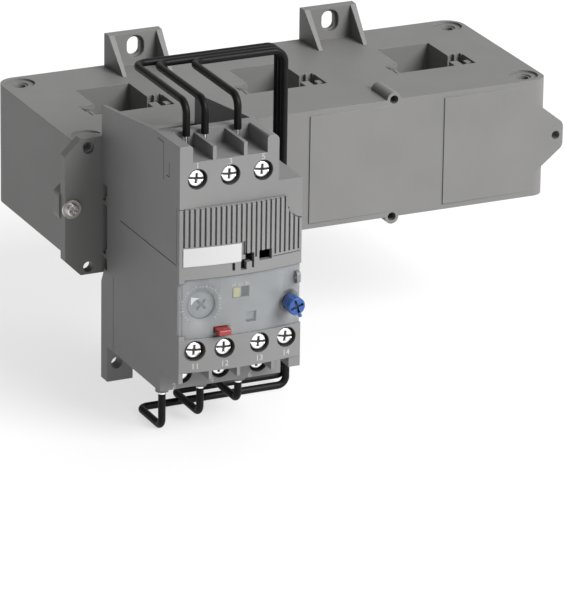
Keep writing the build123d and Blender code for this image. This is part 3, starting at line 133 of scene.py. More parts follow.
# Terminal screws: the rings of a head's face, its edge, the cross, the slot, the depth below which
# the recess is painted with shade, and the dark lining of painted shade in the well round it
HEAD_GAP = 3 * MM
HEAD_RINGS, HEAD_SECTORS, WELL_SECTORS = 26, 72, 48
HEAD_DOME = 0.30 * MM
CHAMFER, CHAMFER_SLOPE = 0.35 * MM, 0.9
ARM_HALF, ARM_REACH, ARM_RISE = 0.46 * MM, 1.9 * MM, 0.45
SLOT_HALF, SLOT_START, SLOT_DEPTH = 0.42 * MM, 1.5 * MM, 0.8 * MM
RECESS_SHADE_FLOOR = 0.65 * MM
SCREW_TURN = 0.16
WELL_INNER, WELL_LIP, WELL_OUTER = 3.52 * MM, 3.02 * MM, 3.59 * MM
WELL_FRONT, WELL_FLOOR, WELL_BACK = -0.82 * MM, 1.84 * MM, 1.90 * MM

# Finishes that follow a piece's shape: the crosses, whose recess is painted with shade, the
# selector's knob and a core's sheets
CROSS_SHADE_DEPTH, CROSS_SHADE_REACH = 0.15 * MM, 2.6 * MM
SELECTOR_KNOB = 0.9 * MM
SHEET = 0.25 * MM

# Printed marks: thickness of the ink, size and weight of the font for figures 1 high, the dial's
# scale, and its pointer in millimetres from its centre
MARK_LIFT = 0.03 * MM
FONT_SIZE, FONT_WEIGHT = 1.4, 0.008
SCALE_START, SCALE_SWEEP = math.radians(225), math.radians(270)
LONG_TICK, SHORT_TICK, TICK_WIDTH, LONG_EVERY = 1.0 * MM, 0.55 * MM, 0.34 * MM, 3
POINTER = ((-3.57, 2.99), (-0.42, 2.20), (-2.35, 1.50), (-3.52, 0.10))

# Stage: where the camera aims, how far it then moves aside, the floor and the key light
CAMERA_AIM = Vector((1.571, -74.0, -21.8)) * MM
CAMERA_RIGHT, CAMERA_UP = -12.95 * MM, -25.50 * MM
FLOOR_REACH = 6.0
KEY_DIRECTION = Vector((0.9, -1.68, 1.35))


def bow_y(x, inset=0.0):
    """Depth of the bowed front at x, or of a surface parallel to it further in."""
    reach = math.sqrt((BOW_RADIUS - inset) ** 2 - (x - RELAY_MIDDLE) ** 2)
    return RELAY_FRONT - BOW + BOW_RADIUS - reach


def panel_y(x):
    """Depth of the recessed panel at x."""
    return bow_y(x, PANEL_RECESS)


def behind(depth):
    """A surface some distance behind the bowed front, as its depth at a given x."""
    return lambda x: bow_y(x) + depth


def flat(depth):
    """A flat surface, as its depth at any place."""
    return lambda *place: depth


# A depth that is clear of the relay's front
CLEAR = flat(RELAY_FRONT - 3 * MM)


def color_setting(name, description, default):
    """A colour that the user can change."""
    return FloatVectorProperty(name=name, description=description, subtype="COLOR", size=3,
                               min=0, max=1, default=default)


def length_setting(name, description, low, high, default):
    """A length that the user can change, in metres."""
    return FloatProperty(name=name, description=description, subtype="DISTANCE",
                         min=low, max=high, default=default)


def angle_setting(name, description, degrees):
    """An angle that the user can change."""
    return FloatProperty(name=name, description=description, subtype="ANGLE",
                         default=math.radians(degrees))


def number_setting(name, description, low, default):
    """A plain number that the user can change."""
    return FloatProperty(name=name, description=description, min=low, default=default)


def count_setting(name, description, low, high, default):
    """A whole number that the user can change."""
    return IntProperty(name=name, description=description, min=low, max=high, default=default)


class FinishSettings(bpy.types.PropertyGroup):
    """Colours of the relay's surfaces."""

    housing: color_setting("Housing", "Moulded grey of the transformer block",
                           (0.139, 0.1377, 0.1354))
    relay: color_setting("Relay", "Moulded grey of the relay case", (0.150, 0.150, 0.149))
    cover: color_setting("Cover", "Moulded grey of the relay's front cover", (0.164, 0.164, 0.163))
    lead: color_setting("Leads", "Insulation of the six leads", (0.0045, 0.0045, 0.0047))
    reset: color_setting("Reset knob", "Plastic of the reset knob", (0.014, 0.060, 0.225))
    stop: color_setting("Stop button", "Plastic of the stop button", (0.235, 0.018, 0.018))
    selector: color_setting("Selector", "Plastic of the trip class selector", (0.325, 0.305, 0.115))
    ink: color_setting("Marks", "Ink of the figures by the terminals", (0.36, 0.36, 0.355))
    grain: length_setting("Grain", "Size of the moulding grain", 0.00005, 0.002, 0.0003)
    edge: length_setting("Edge rounding", "Radius of moulded edges", 0.0, 0.001, 0.00025)


class CoverSettings(bpy.types.PropertyGroup):
    """Sizes of the ribs on the relay's front cover."""

    groove_count: count_setting("Grooves", "Number of grooves across the cover", 4, 40, 24)
    groove_start: length_setting("First groove", "Middle of the first groove, from the left edge",
                                 0.0005, 0.01, 0.00157)
    groove_pitch: length_setting("Groove pitch", "Distance from one groove to the next",
                                 0.001, 0.005, 0.00183)
    groove_width: length_setting("Groove width", "Width of a groove", 0.0003, 0.002, 0.00068)
    groove_depth: length_setting("Groove depth", "Depth of a groove", 0.0002, 0.0015, 0.0009)
    seam_width: length_setting("Seam width", "Width of the seam at the top", 0.0001, 0.001, 0.0003)


class ScrewSettings(bpy.types.PropertyGroup):
    """Sizes of the terminal screws."""

    head_radius: length_setting("Head radius", "Radius of a screw head", 0.001, 0.005, 0.00295)
    head_height: length_setting("Head height", "Height of a screw head", 0.0005, 0.004, 0.0018)
    recess_depth: length_setting("Recess depth", "Depth of a head's cross", 0.0002, 0.0016, 0.0013)
    shank_radius: length_setting("Shank radius", "Radius of the shank", 0.0005, 0.0025, 0.0015)
    shank_length: length_setting("Shank length", "Length of a screw's shank", 0.001, 0.02, 0.009)
    turn_seed: count_setting("Turn seed", "Seed of the angle each screw was left at", 0, 100, 3)


class MarkSettings(bpy.types.PropertyGroup):
    """Sizes of the printed marks."""

    terminal_height: length_setting("Terminal figures", "Height of the figures by the terminals",
                                    0.0005, 0.005, 0.0021)
    panel_height: length_setting("Panel figures", "Height of the figures on the panel",
                                 0.0003, 0.003, 0.0012)
    scale_radius: length_setting("Scale radius", "Inner radius of the scale", 0.003, 0.009, 0.0063)
    scale_ticks: count_setting("Scale ticks", "Number of ticks round the dial", 4, 60, 28)


class StageSettings(bpy.types.PropertyGroup):
    """Camera, floor and lights."""

    azimuth: angle_setting("Azimuth", "Direction of the view", -25.184)
    elevation: angle_setting("Elevation", "Height of the view above level", 20.938)
    roll: angle_setting("Roll", "Tilt of the camera", 0.812)
    distance: length_setting("Distance", "Distance from the aim to the camera", 0.1, 20, 1.95275)
    lens: number_setting("Lens", "Focal length of the camera in millimetres", 10, 333.75)
    floor_color: color_setting("Floor", "Colour of the floor", (0.30, 0.30, 0.30))
    floor_glow: number_setting("Floor glow", "Light that the floor gives off by itself", 0, 0.62)
    key_strength: number_setting("Key light", "Strength of the light from the front right", 0, 4.4)
    key_spread: angle_setting("Key spread", "How wide the key light is, as an angle", 34)
    world_left: number_setting("Surround, left", "Strength of the surround, far left", 0, 0.02)
    world_right: number_setting("Surround, right", "Strength of the surround, far right", 0, 1.14)


class Socket:
    """A number in a node tree, so that a finish can be written as sums."""

    def __init__(self, tree, output):
        self.tree = tree
        self.output = output

    def _math(self, operation, *values):
        return self.tree.make("ShaderNodeMath", {"operation": operation}, dict(enumerate(values)))

    def __add__(self, other):
        return self._math("ADD", self, other)

    def __sub__(self, other):
        return self._math("SUBTRACT", self, other)

    def __rsub__(self, other):
        return self._math("SUBTRACT", other, self)

    def __mul__(self, other):
        return self._math("MULTIPLY", self, other)

    def above(self, other):
        """1 where this is above the other, else 0."""
        return self._math("GREATER_THAN", self, other)

    def smooth(self, low, high):
        """0 below low, 1 above high and a soft step between."""
        return self.tree.make(
            "ShaderNodeMapRange", {"interpolation_type": "SMOOTHSTEP"},
            {"Value": self, "From Min": low, "From Max": high})


class Tree:
    """Nodes of a material, a world or a Geometry Nodes group, added one by one."""

    def __init__(self, group):
        self.group = group
        self.column = 0

    def make(self, kind, settings=None, values=None, output=0):
        """Adds a node: settings first, then what goes into its sockets."""
        node = self.group.nodes.new(kind)
        node.location = (self.column * 40, -self.column % 7 * 60)
        self.column += 1
        for key, value in (settings or {}).items():
            setattr(node, key, value)
        for key, value in (values or {}).items():
            self.feed(node.inputs[key], value)
        return Socket(self, node.outputs[output])

    def feed(self, socket, value):
        """Puts a number, a colour or another node's output into a socket."""
        if isinstance(value, Socket):
            self.group.links.new(value.output, socket)
        elif socket.type == "RGBA":
            socket.default_value = (*value, 1.0)
        else:
            socket.default_value = value


class Finish(Tree):
    """One material."""

    def __init__(self, name):
        self.material = bpy.data.materials.new(name + FINISHED)
        self.material.use_nodes = True
        super().__init__(self.material.node_tree)
        self.group.nodes.clear()

    def place(self):
        """Where a point lies, in metres."""
        return self.make("ShaderNodeTexCoord", output="Object")

    def along(self, axis):
        """How far a point lies along X, Y or Z, in metres."""
        return self.make("ShaderNodeSeparateXYZ", {}, {0: self.place()}, output=axis)

    def stripes(self, axis):
        """Rises from 0 to 1 and falls again, once in two sheets' thickness along an axis."""
        return self.make("ShaderNodeMath", {"operation": "PINGPONG"},
                         {0: self.along(axis), 1: SHEET}) * (1 / SHEET)

    def noise(self, size, detail=2.0, roughness=0.5, stretch=None):
        """Noise with features of about the given size, in metres."""
        at = self.place()
        if stretch:
            at = self.make("ShaderNodeMapping", {}, {"Vector": at, "Scale": stretch})
        return self.make("ShaderNodeTexNoise", {},
                         {"Vector": at, "Scale": 1.0 / size, "Detail": detail,
                          "Roughness": roughness})

    def blend(self, factor, first, second):
        """Mixes two colours."""
        return self.make("ShaderNodeMix", {"data_type": "RGBA"},
                         {0: factor, 6: first, 7: second}, output=2)

    def varied(self, pattern, color, low, high, start=0.3, end=0.7):
        """A colour that goes from one of its shades to another as a pattern does."""
        return self.blend(pattern.smooth(start, end), shade(color, low), shade(color, high))

    def rounded(self, edge):
        """Normals that make sharp edges look rounded."""
        return self.make("ShaderNodeBevel", {"samples": 4}, {"Radius": edge})

    def relief(self, height, strength, depth, edge=0.0):
        """Bump from a height in 0..1, over edges that look rounded."""
        values = {"Height": height, "Strength": strength, "Distance": depth}
        if edge > 0:
            values["Normal"] = self.rounded(edge)
        return self.make("ShaderNodeBump", {}, values)

    def surface(self, values):
        """The Principled shader that ends the tree."""
        shader = self.make("ShaderNodeBsdfPrincipled", {}, values, output="BSDF")
        end = self.group.nodes.new("ShaderNodeOutputMaterial")
        self.feed(end.inputs["Surface"], shader)
        return self.material


def shade(color, factor):
    """A colour made darker or lighter."""
    return tuple(min(1.0, channel * factor) for channel in color)


def moulded(name, color, grain, edge, roughness=0.52, depth=0.02 * MM, cloud=0.05):
    """Spark-eroded moulded plastic: a fine even grain and hardly any change of colour."""
    finish = Finish(name)
    fine = finish.noise(grain, 2.0, 0.6)
    broad = finish.noise(20 * MM, 3.0, 0.5)
    tint = finish.varied(broad, color, 1 - cloud, 1 + cloud, 0.25, 0.75)
    tint = finish.blend(fine.smooth(0.35, 0.65) * 0.35, tint, shade(color, 1 + 1.6 * cloud))
    return finish.surface({
        "Base Color": tint,
        "Roughness": fine * 0.16 + (roughness - 0.08),
        "Normal": finish.relief(fine, 0.55, depth, edge),
    })


def glossy(finish, color, shades, roughness, edge=0.2 * MM, sunk=None, under=None):
    """Smooth moulded plastic with faint flow marks, and another colour where it is sunk: painted
    shade in the cross of a knob or dial, the foot's own grey in the selector.
    """
    marks = finish.noise(1.6 * MM, 3.0, 0.55)
    tint = finish.varied(marks, color, *shades)
    return finish.surface({
        "Base Color": finish.blend(sunk, tint, under) if sunk else tint,
        "Roughness": marks * 0.12 + (roughness - 0.06),
        "Normal": finish.relief(marks, 0.25, 0.02 * MM, edge),
    })


def turned(name, face, cross, center, front, roughness):
    """A knob or dial to be turned with a screwdriver: the cross in its face is painted darker, as
    shade in its recess.
    """
    finish = Finish(name)
    x, y, z = (finish.along(axis) for axis in "XYZ")
    across, height = x - center[0], z - center[1]
    # The cross's recess gets a darker colour as painted shade
    near = 1 - (across * across + height * height).above(CROSS_SHADE_REACH**2)
    sunk = y.above(front + CROSS_SHADE_DEPTH) * near
    return glossy(finish, face, (0.97, 1.06), roughness, sunk=sunk, under=cross)


def selector(name, knob, foot):
    """Trip class selector: the small knob in its own colour, the foot behind it grey."""
    finish = Finish(name)
    sunk = finish.along("Y").above(SELECTOR_FRONT + SELECTOR_KNOB)
    return glossy(finish, knob, (0.95, 1.06), 0.36, sunk=sunk, under=foot)


def metal(name, color, roughness, edge):
    """Plated steel or brass: small scratches and slight patches in the plating."""
    finish = Finish(name)
    scratches = finish.noise(0.4 * MM, 4.0, 0.65, (1.0, 6.0, 1.0))
    patches = finish.noise(2.5 * MM)
    return finish.surface({
        "Base Color": finish.varied(patches, color, 0.9, 1.05),
        "Metallic": 1.0,
        "Roughness": scratches * 0.18 + patches * 0.08 + (roughness - 0.12),
        "Normal": finish.relief(scratches, 0.2, 0.01 * MM, edge),
    })


def plating_with_recess_shade(name, color):
    """Bright plating of a screw head, with painted shade down in its recess, where the colour is
    made nearly black, dull and not metallic.
    """
    finish = Finish(name)
    recess = finish.make("ShaderNodeAttribute", {"attribute_name": "recess"}, output="Fac")
    worn = finish.noise(0.6 * MM, 3.0, 0.6)
    # Where the recess is marked, shade is painted: nearly black, dull and not metallic
    sunk = recess.smooth(0.2, 0.8)
    return finish.surface({
        "Base Color": finish.blend(sunk, finish.varied(worn, color, 0.94, 1), shade(color, 0.03)),
        "Metallic": 1 - sunk,
        "Roughness": recess * 0.3 + worn * 0.10 + 0.27,
        "Normal": finish.relief(worn, 0.15, 0.01 * MM),
    })


def insulation(name, color):
    """Drawn insulation of the leads: smooth, with faint ripples and a soft shine."""
    finish = Finish(name)
    ripple = finish.noise(2.2 * MM, 3.0, 0.55)
    dust = finish.noise(0.7 * MM, 2.0, 0.6)
    return finish.surface({
        "Base Color": finish.blend(ripple.smooth(0.4, 0.8) * 0.6, color, shade(color, 1.8)),
        "Roughness": ripple * 0.12 + dust * 0.06 + 0.36,
        "Normal": finish.relief(ripple, 0.12, 0.04 * MM),
        "IOR": 1.22,
    })


def clear_plastic(name):
    """Thin transparent cover, a little milky, that catches the light at its edges."""
    finish = Finish(name)
    haze = finish.noise(6 * MM)
    rim = finish.make("ShaderNodeLayerWeight", {}, {"Blend": 0.35}, output="Facing")
    material = finish.surface({
        "Base Color": finish.blend(haze.smooth(0.3, 0.7), (0.36, 0.39, 0.41), (0.42, 0.45, 0.47)),
        "Roughness": haze * 0.08 + 0.12,
        "Alpha": haze * 0.04 + rim * 0.25 + 0.10,
        "Normal": finish.rounded(0.2 * MM),
    })
    material.surface_render_method = "BLENDED"
    return material


def laminations(name, color):
    """Edges of a stack of sheet steel."""
    finish = Finish(name)
    sheets = finish.stripes("Z")
    rust = finish.noise(4 * MM, 3.0, 0.5)
    return finish.surface({
        "Base Color": finish.varied(rust, color, 1, 0.7, 0.5, 0.8),
        "Metallic": 0.9,
        "Roughness": sheets * 0.1 + 0.35,
        "Normal": finish.relief(sheets, 0.5, 0.05 * MM),
    })


def wound(name, color):
    """Turns of enamelled wire laid side by side, each as wide as two sheets."""
    finish = Finish(name)
    turns = finish.stripes("X")
    blotch = finish.noise(3 * MM)
    return finish.surface({
        "Base Color": finish.varied(blotch, color, 0.8, 1),
        "Metallic": 0.8,
        "Roughness": blotch * 0.1 + 0.25,
        "Normal": finish.relief(turns, 0.8, 0.15 * MM),
    })


def board(name, color):
    """Lacquered board, with the tracks showing faintly through."""
    finish = Finish(name)
    tracks = finish.make("ShaderNodeTexBrick", {}, {
        "Vector": finish.place(), "Scale": 400.0, "Mortar Size": 0.03}, output="Fac")
    return finish.surface({
        "Base Color": finish.blend(tracks, color, shade(color, 1.8)),
        "Roughness": tracks * 0.1 + 0.3,
        "Normal": finish.relief(tracks, 0.3, 0.05 * MM),
    })


def ink(name, color):
    """Printed ink, a little uneven."""
    finish = Finish(name)
    wear = finish.noise(0.4 * MM, 3.0, 0.6)
    return finish.surface({
        "Base Color": finish.varied(wear, color, 0.86, 1),
        "Roughness": wear * 0.1 + 0.45,
    })


SCREW_NODES = ("top_screws", "aux_screws", "lower_screws")
DARK_NODES = ("lead_strip", "mechanism_frame", "potentiometer", "class_switch")
BRASS_NODES = ("fixed_contacts", "contact_bridges", "terminal_straps")
ZINC_NODES = ("base_screws", "adapter_washers", "adapter_screws", "top_terminals",
              "lower_terminals", "aux_terminals", "stop_spring", "reset_spring")


def three(name):
    """Names of the nodes of one kind, one for each pole."""
    return [f"{name}_{side}" for side in ("left", "middle", "right")]


def dress(nodes, material):
    """Gives CAD nodes a material."""
    for name in nodes:
        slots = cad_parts[name].data.materials
        slots.clear()
        slots.append(material)


class RELAY_OT_finishes(bpy.types.Operator):
    """Give every piece of the frame its finish"""

    bl_idname = "relay.finishes"
    bl_label = "Finishes"

    def execute(self, context):
        tint = context.scene.relay_finish

        def plastic(name, color, roughness=0.52, **values):
            return moulded(name, color, tint.grain, tint.edge, roughness, **values)

        dress(["transformer_case", "transformer_base", "adapter_plate"],
              plastic("housing_grey", tint.housing))
        dress(["relay_case", "relay_base"], plastic("relay_grey", tint.relay))
        dress(["front_cover"], plastic("cover_grey", tint.cover))
        dress(["label_plate"],
              plastic("label_white", (0.42, 0.42, 0.42), 0.4, depth=0.01 * MM, cloud=0.02))
        dress(["contact_slider"], plastic("slider_grey", (0.13, 0.133, 0.137), 0.4))
        dress(DARK_NODES, plastic("dark_plastic", (0.014, 0.014, 0.014), 0.45))
        dress(three("bobbin"), plastic("bobbin_white", (0.70, 0.68, 0.60), 0.5))
        # The crosses of the dial and the knob are painted darker, as shade in their recess
        dress(["setting_dial"], turned("dial_grey", (0.150, 0.154, 0.157), (0.07, 0.072, 0.074),
                                       DIAL_CENTER, DIAL_FRONT, 0.4))
        dress(["reset_knob", "reset_plunger"],
              turned("reset_blue", tint.reset, shade(tint.reset, 0.35), KNOB_CENTER, KNOB_FRONT,
                     0.28))
        dress(["stop_button"], glossy(Finish("stop_red"), tint.stop, (0.97, 1.09), 0.28, 0.3 * MM))
        dress(["class_slider"], selector("selector_yellow", tint.selector, (0.225, 0.221, 0.230)))
        dress(["seal_cover"], clear_plastic("clear_cover"))
        dress(three("top_lead") + three("lower_lead"), insulation("lead_black", tint.lead))
        dress(ZINC_NODES, metal("zinc_steel", (0.62, 0.61, 0.58), 0.34, 0.2 * MM))
        dress(["top_sleeves", "lower_sleeves"],
              metal("tinned_copper", (0.95, 0.95, 0.93), 0.24, 0.0))
        dress(BRASS_NODES, metal("contact_brass", (0.62, 0.47, 0.20), 0.32, 0.1 * MM))
        dress(SCREW_NODES, plating_with_recess_shade("bright_screw", (0.95, 0.95, 0.94)))
        dress(three("core") + ["coil_yoke"], laminations("core_steel", (0.32, 0.32, 0.33)))
        dress(three("winding") + ["trip_coil"], wound("copper_wire", (0.55, 0.22, 0.09)))
        dress(["circuit_board"], board("board_green", (0.02, 0.10, 0.04)))
        return {"FINISHED"}


def new_piece(name, mesh, material, body):
    """Puts a finished mesh into the scene, riding on a body."""
    mesh.materials.clear()
    mesh.materials.append(material)
    mesh.polygons.foreach_set("material_index", [0] * len(mesh.polygons))
    piece = in_scene(name, mesh)
    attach(piece, body)
    return piece


def in_scene(name, data):
    """An object of the given data, linked to the scene."""
    item = bpy.data.objects.new(name, data)
    bpy.context.collection.objects.link(item)
    return item


def discard(*items):
    """Deletes objects that were only needed for a moment."""
    for item in items:
        bpy.data.objects.remove(item)


def evaluated(holder, layers=False):
    """Mesh of an object with its modifiers run, with every layer or the usual ones."""
    graph = bpy.context.evaluated_depsgraph_get()
    return bpy.data.meshes.new_from_object(
        holder.evaluated_get(graph), preserve_all_data_layers=layers, depsgraph=graph)


def baked(mesh, name):
    """Turns a mesh being built into mesh data."""
    data = bpy.data.meshes.new(name)
    mesh.to_mesh(data)
    mesh.free()
    return data


def closed(mesh, name):
    """Mesh data of triangles that point outwards."""
    bmesh.ops.triangulate(mesh, faces=mesh.faces[:])
    bmesh.ops.recalc_face_normals(mesh, faces=mesh.faces[:])
    return baked(mesh, name)


def merged(node):
    """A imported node's shape as one closed mesh."""
    mesh = bmesh.new()
    mesh.from_mesh(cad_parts[node].data)
    bmesh.ops.remove_doubles(mesh, verts=mesh.verts[:], dist=0.001 * MM)
    return baked(mesh, node + "_merged")


def join_rows(mesh, row, after):
    """Adds the faces between two rows of points that each go round."""
    for index in range(len(row)):
        beside = (index + 1) % len(row)
        mesh.faces.new((row[index], row[beside], after[beside], after[index]))


def box_solid(mesh, x0, x1, z0, z1, front, back):
    """Adds a closed block to a mesh, with a front and a back that are depths at a given x."""
    corners = ((x0, z0), (x1, z0), (x1, z1), (x0, z1))
    near = [mesh.verts.new((x, front(x), z)) for x, z in corners]
    far = [mesh.verts.new((x, back(x), z)) for x, z in corners]
    mesh.faces.new(near)
    mesh.faces.new(far[::-1])
    join_rows(mesh, far, near)


def strip_solid(mesh, path, width, front, back):
    """Adds a closed strip that follows x, z points, to the right hand of the way."""
    rows = []
    for index, point in enumerate(path):
        before, after = path[max(index - 1, 0)], path[min(index + 1, len(path) - 1)]
        along = (Vector(after) - Vector(before)).normalized()
        aside = Vector((along.y, -along.x))
        outer, inner = Vector(point) - aside * LAP / 2, Vector(point) + aside * width
        rows.append([mesh.verts.new((at.x, depth(at.x), at.y)) for at, depth in
                     ((outer, front), (inner, front), (inner, back), (outer, back))])
    for row, after in zip(rows, rows[1:]):
        join_rows(mesh, row, after)
    mesh.faces.new(rows[0][::-1])
    mesh.faces.new(rows[-1])


def straight(start, end, height, steps):
    """Points along a level line, as x, z."""
    return [(start + (end - start) * step / steps, height) for step in range(steps + 1)]


def carved(body, tool, operation):
    """Body with the tool added or cut away."""
    holder, cutter = in_scene("body", body), in_scene("tool", tool)
    modifier = holder.modifiers.new("carve", "BOOLEAN")
    modifier.operation = operation
    modifier.solver = "EXACT"
    modifier.use_self = True
    modifier.object = cutter
    result = evaluated(holder)
    discard(holder, cutter)
    return result


def start_tree(name, sockets):
    """A Geometry Nodes tree, and its inputs: geometry and these."""
    group = bpy.data.node_groups.new(name, "GeometryNodeTree")
    sockets = {"Geometry": "Geometry", **sockets}
    for socket, kind in sockets.items():
        group.interface.new_socket(socket, in_out="INPUT", socket_type="NodeSocket" + kind)
    group.interface.new_socket("Geometry", in_out="OUTPUT", socket_type="NodeSocketGeometry")
    tree, source = Tree(group), group.nodes.new("NodeGroupInput")
    return tree, {socket: Socket(tree, source.outputs[socket]) for socket in sockets}


def end_tree(tree, geometry, material):
    """Ends a Geometry Nodes tree by making its copies real and painting them."""
    real = tree.make("GeometryNodeRealizeInstances", {}, {0: geometry})
    paint = tree.make("GeometryNodeSetMaterial", {}, {"Geometry": real, "Material": material})
    sink = tree.group.nodes.new("NodeGroupOutput")
    tree.feed(sink.inputs[0], paint)
    return tree.group


def grown(holder, tree, values):
    """Mesh of an object after a tree has run on it, with these values in its inputs."""
    modifier = holder.modifiers.new("grow", "NODES")
    modifier.node_group = tree
    for item in tree.interface.items_tree:
        if item.in_out == "INPUT" and item.name in values:
            modifier[item.identifier] = values[item.name]
    return evaluated(holder, layers=True)


def corner_edge(steps=10):
    """Points of the cover's hollow upper right corner, from its top edge down to its side."""
    start = Vector((RELAY_RIGHT - CORNER_WIDTH, COVER_TOP))
    between = Vector((RELAY_RIGHT - CORNER_HOLLOW * CORNER_WIDTH,
                      COVER_TOP - CORNER_HOLLOW * CORNER_DROP))
    end = Vector((RELAY_RIGHT, COVER_TOP - CORNER_DROP))
    first, second = between - start, end - start
    turn = 2 * (first.x * second.y - first.y * second.x)
    center = start + Vector((
        second.y * first.length_squared - first.y * second.length_squared,
        first.x * second.length_squared - second.x * first.length_squared)) / turn
    begin = math.atan2(*(start - center).yx)
    sweep = (math.atan2(*(end - center).yx) - begin) % (2 * math.pi)
    radius = (start - center).length
    angles = [begin + sweep * step / steps for step in range(steps + 1)]
    return [center + radius * Vector((math.cos(angle), math.sin(angle))) for angle in angles]


def edge_height(x, corner):
    """Height of the cover's upper edge at x."""
    for before, after in zip(corner, corner[1:]):
        if before.x <= x <= after.x:
            return before.y + (after.y - before.y) * (x - before.x) / (after.x - before.x)
    return COVER_TOP


def groove_tree(material):
    """Geometry Nodes: cuts a block away at each point, as tall as its point says."""
    tree, given = start_tree("grooves_at_points",
                             {"Points": "Object", "Width": "Float", "Depth": "Float"})
    places = tree.make("GeometryNodeObjectInfo", {}, {"Object": given["Points"]},
                       output="Geometry")
    tall = tree.make("GeometryNodeInputNamedAttribute", {"data_type": "FLOAT"},
                     {"Name": "tall"}, output="Attribute")
    size = tree.make("ShaderNodeCombineXYZ", {},
                     {"X": given["Width"], "Y": given["Depth"] * 2, "Z": tall})
    block = tree.make("GeometryNodeMeshCube")
    copies = tree.make("GeometryNodeInstanceOnPoints", {},
                       {"Points": places, "Instance": block, "Scale": size})
    loose = tree.make("GeometryNodeRealizeInstances", {}, {0: copies})
    cut = tree.make("GeometryNodeMeshBoolean", {"operation": "DIFFERENCE", "solver": "EXACT"},
                    {0: given["Geometry"], 1: loose, "Self Intersection": True})
    return end_tree(tree, cut, material)


class RELAY_OT_cover(bpy.types.Operator):
    """Rib the front cover as finely as the real one, with a seam round its top"""

    bl_idname = "relay.cover"
    bl_label = "Front cover"

    def execute(self, context):
        settings = context.scene.relay_cover
        material = bpy.data.materials["cover_grey" + FINISHED]
        corner = corner_edge()
        body = carved(merged("front_cover"), self.filling(corner), "UNION")
        for tool in (self.seam(settings, corner), self.line(), self.slots()):
            body = carved(body, tool, "DIFFERENCE")
        mesh = self.ribbed(settings, body, corner, material)
        piece = new_piece("front_cover_ribbed", mesh, material, "housing")
        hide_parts("front_cover")
        return {"FINISHED"}

    def filling(self, corner):
        """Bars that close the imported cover's coarser grooves."""
        mesh = bmesh.new()
        for index in range(PACKED_GROOVES):
            x = RELAY_LEFT + PACKED_START + PACKED_PITCH * index
            low = LABEL_TOP + LABEL_GAP if x < PACKED_LIMIT else PACKED_BOTTOM
            box_solid(mesh, x - PACKED_HALF, x + PACKED_HALF, low - LAP / 10,
                      edge_height(x, corner) - LAP / 2, behind(FILL_FRONT), behind(FILL_BACK))
        # The first slot is closed behind, so that it is only a notch
        x0, x1, z0, z1 = (side * MM for side in SHALLOW_SLOT)
        box_solid(mesh, RELAY_LEFT + x0 - LAP, RELAY_LEFT + x1 + LAP, z0 - LAP, z1 - NOTCH_DROP,
                  behind(NOTCH_FRONT), behind(NOTCH_BACK))
        return closed(mesh, "filling")

    def seam(self, settings, corner):
        """Where the cover meets the case, along its top and round its corner."""
        mesh = bmesh.new()
        edge = straight(RELAY_LEFT - LAP, corner[0].x, COVER_TOP, 14)[:-1]
        strip_solid(mesh, edge + corner, settings.seam_width, CLEAR, behind(SEAM_DEPTH))
        return closed(mesh, "seam")

    def line(self):
        """The line under the ribs, from the slots to the right edge."""
        mesh = bmesh.new()
        edge = straight(LINE_START, RELAY_RIGHT + LAP, GRILLE_BOTTOM - LINE_DROP, 8)
        strip_solid(mesh, edge, LINE_WIDTH, CLEAR, behind(LINE_DEPTH))
        return closed(mesh, "line")

    def slots(self):
        """The slots that the filling ran into."""
        mesh = bmesh.new()
        for slot in OPEN_SLOTS:
            x0, x1, z0, z1 = (side * MM for side in slot)
            box_solid(mesh, RELAY_LEFT + x0, RELAY_LEFT + x1, z0, z1, CLEAR, behind(OPEN_DEPTH))
        return closed(mesh, "slots")

    def ribbed(self, settings, body, corner, material):
        """The body with its grooves cut."""
        points, heights = [], []
        for index in range(settings.groove_count):
            x = RELAY_LEFT + settings.groove_start + index * settings.groove_pitch
            low = LABEL_TOP + LABEL_GAP if x < SHORT_LIMIT else GRILLE_BOTTOM
            high = edge_height(x, corner) - settings.seam_width / 2
            points.append((x, bow_y(x), (low + high) / 2))
            heights.append(high - low)
        cloud = bpy.data.meshes.new("groove_points")
        cloud.from_pydata(points, [], [])
        cloud.attributes.new("tall", "FLOAT", "POINT").data.foreach_set("value", heights)
        carrier, holder = in_scene("groove_points", cloud), in_scene("cover_body", body)
        mesh = grown(holder, groove_tree(material), {
            "Points": carrier, "Width": settings.groove_width, "Depth": settings.groove_depth})
        discard(carrier, holder)
        return mesh


def round_row(mesh, sectors, reach, depth):
    """Adds a ring of points round Y, whose depth is a function of x and z."""
    row = []
    for sector in range(sectors):
        angle = 2 * math.pi * sector / sectors
        x, z = reach * math.cos(angle), reach * math.sin(angle)
        row.append(mesh.verts.new((x, depth(x, z), z)))
    return row


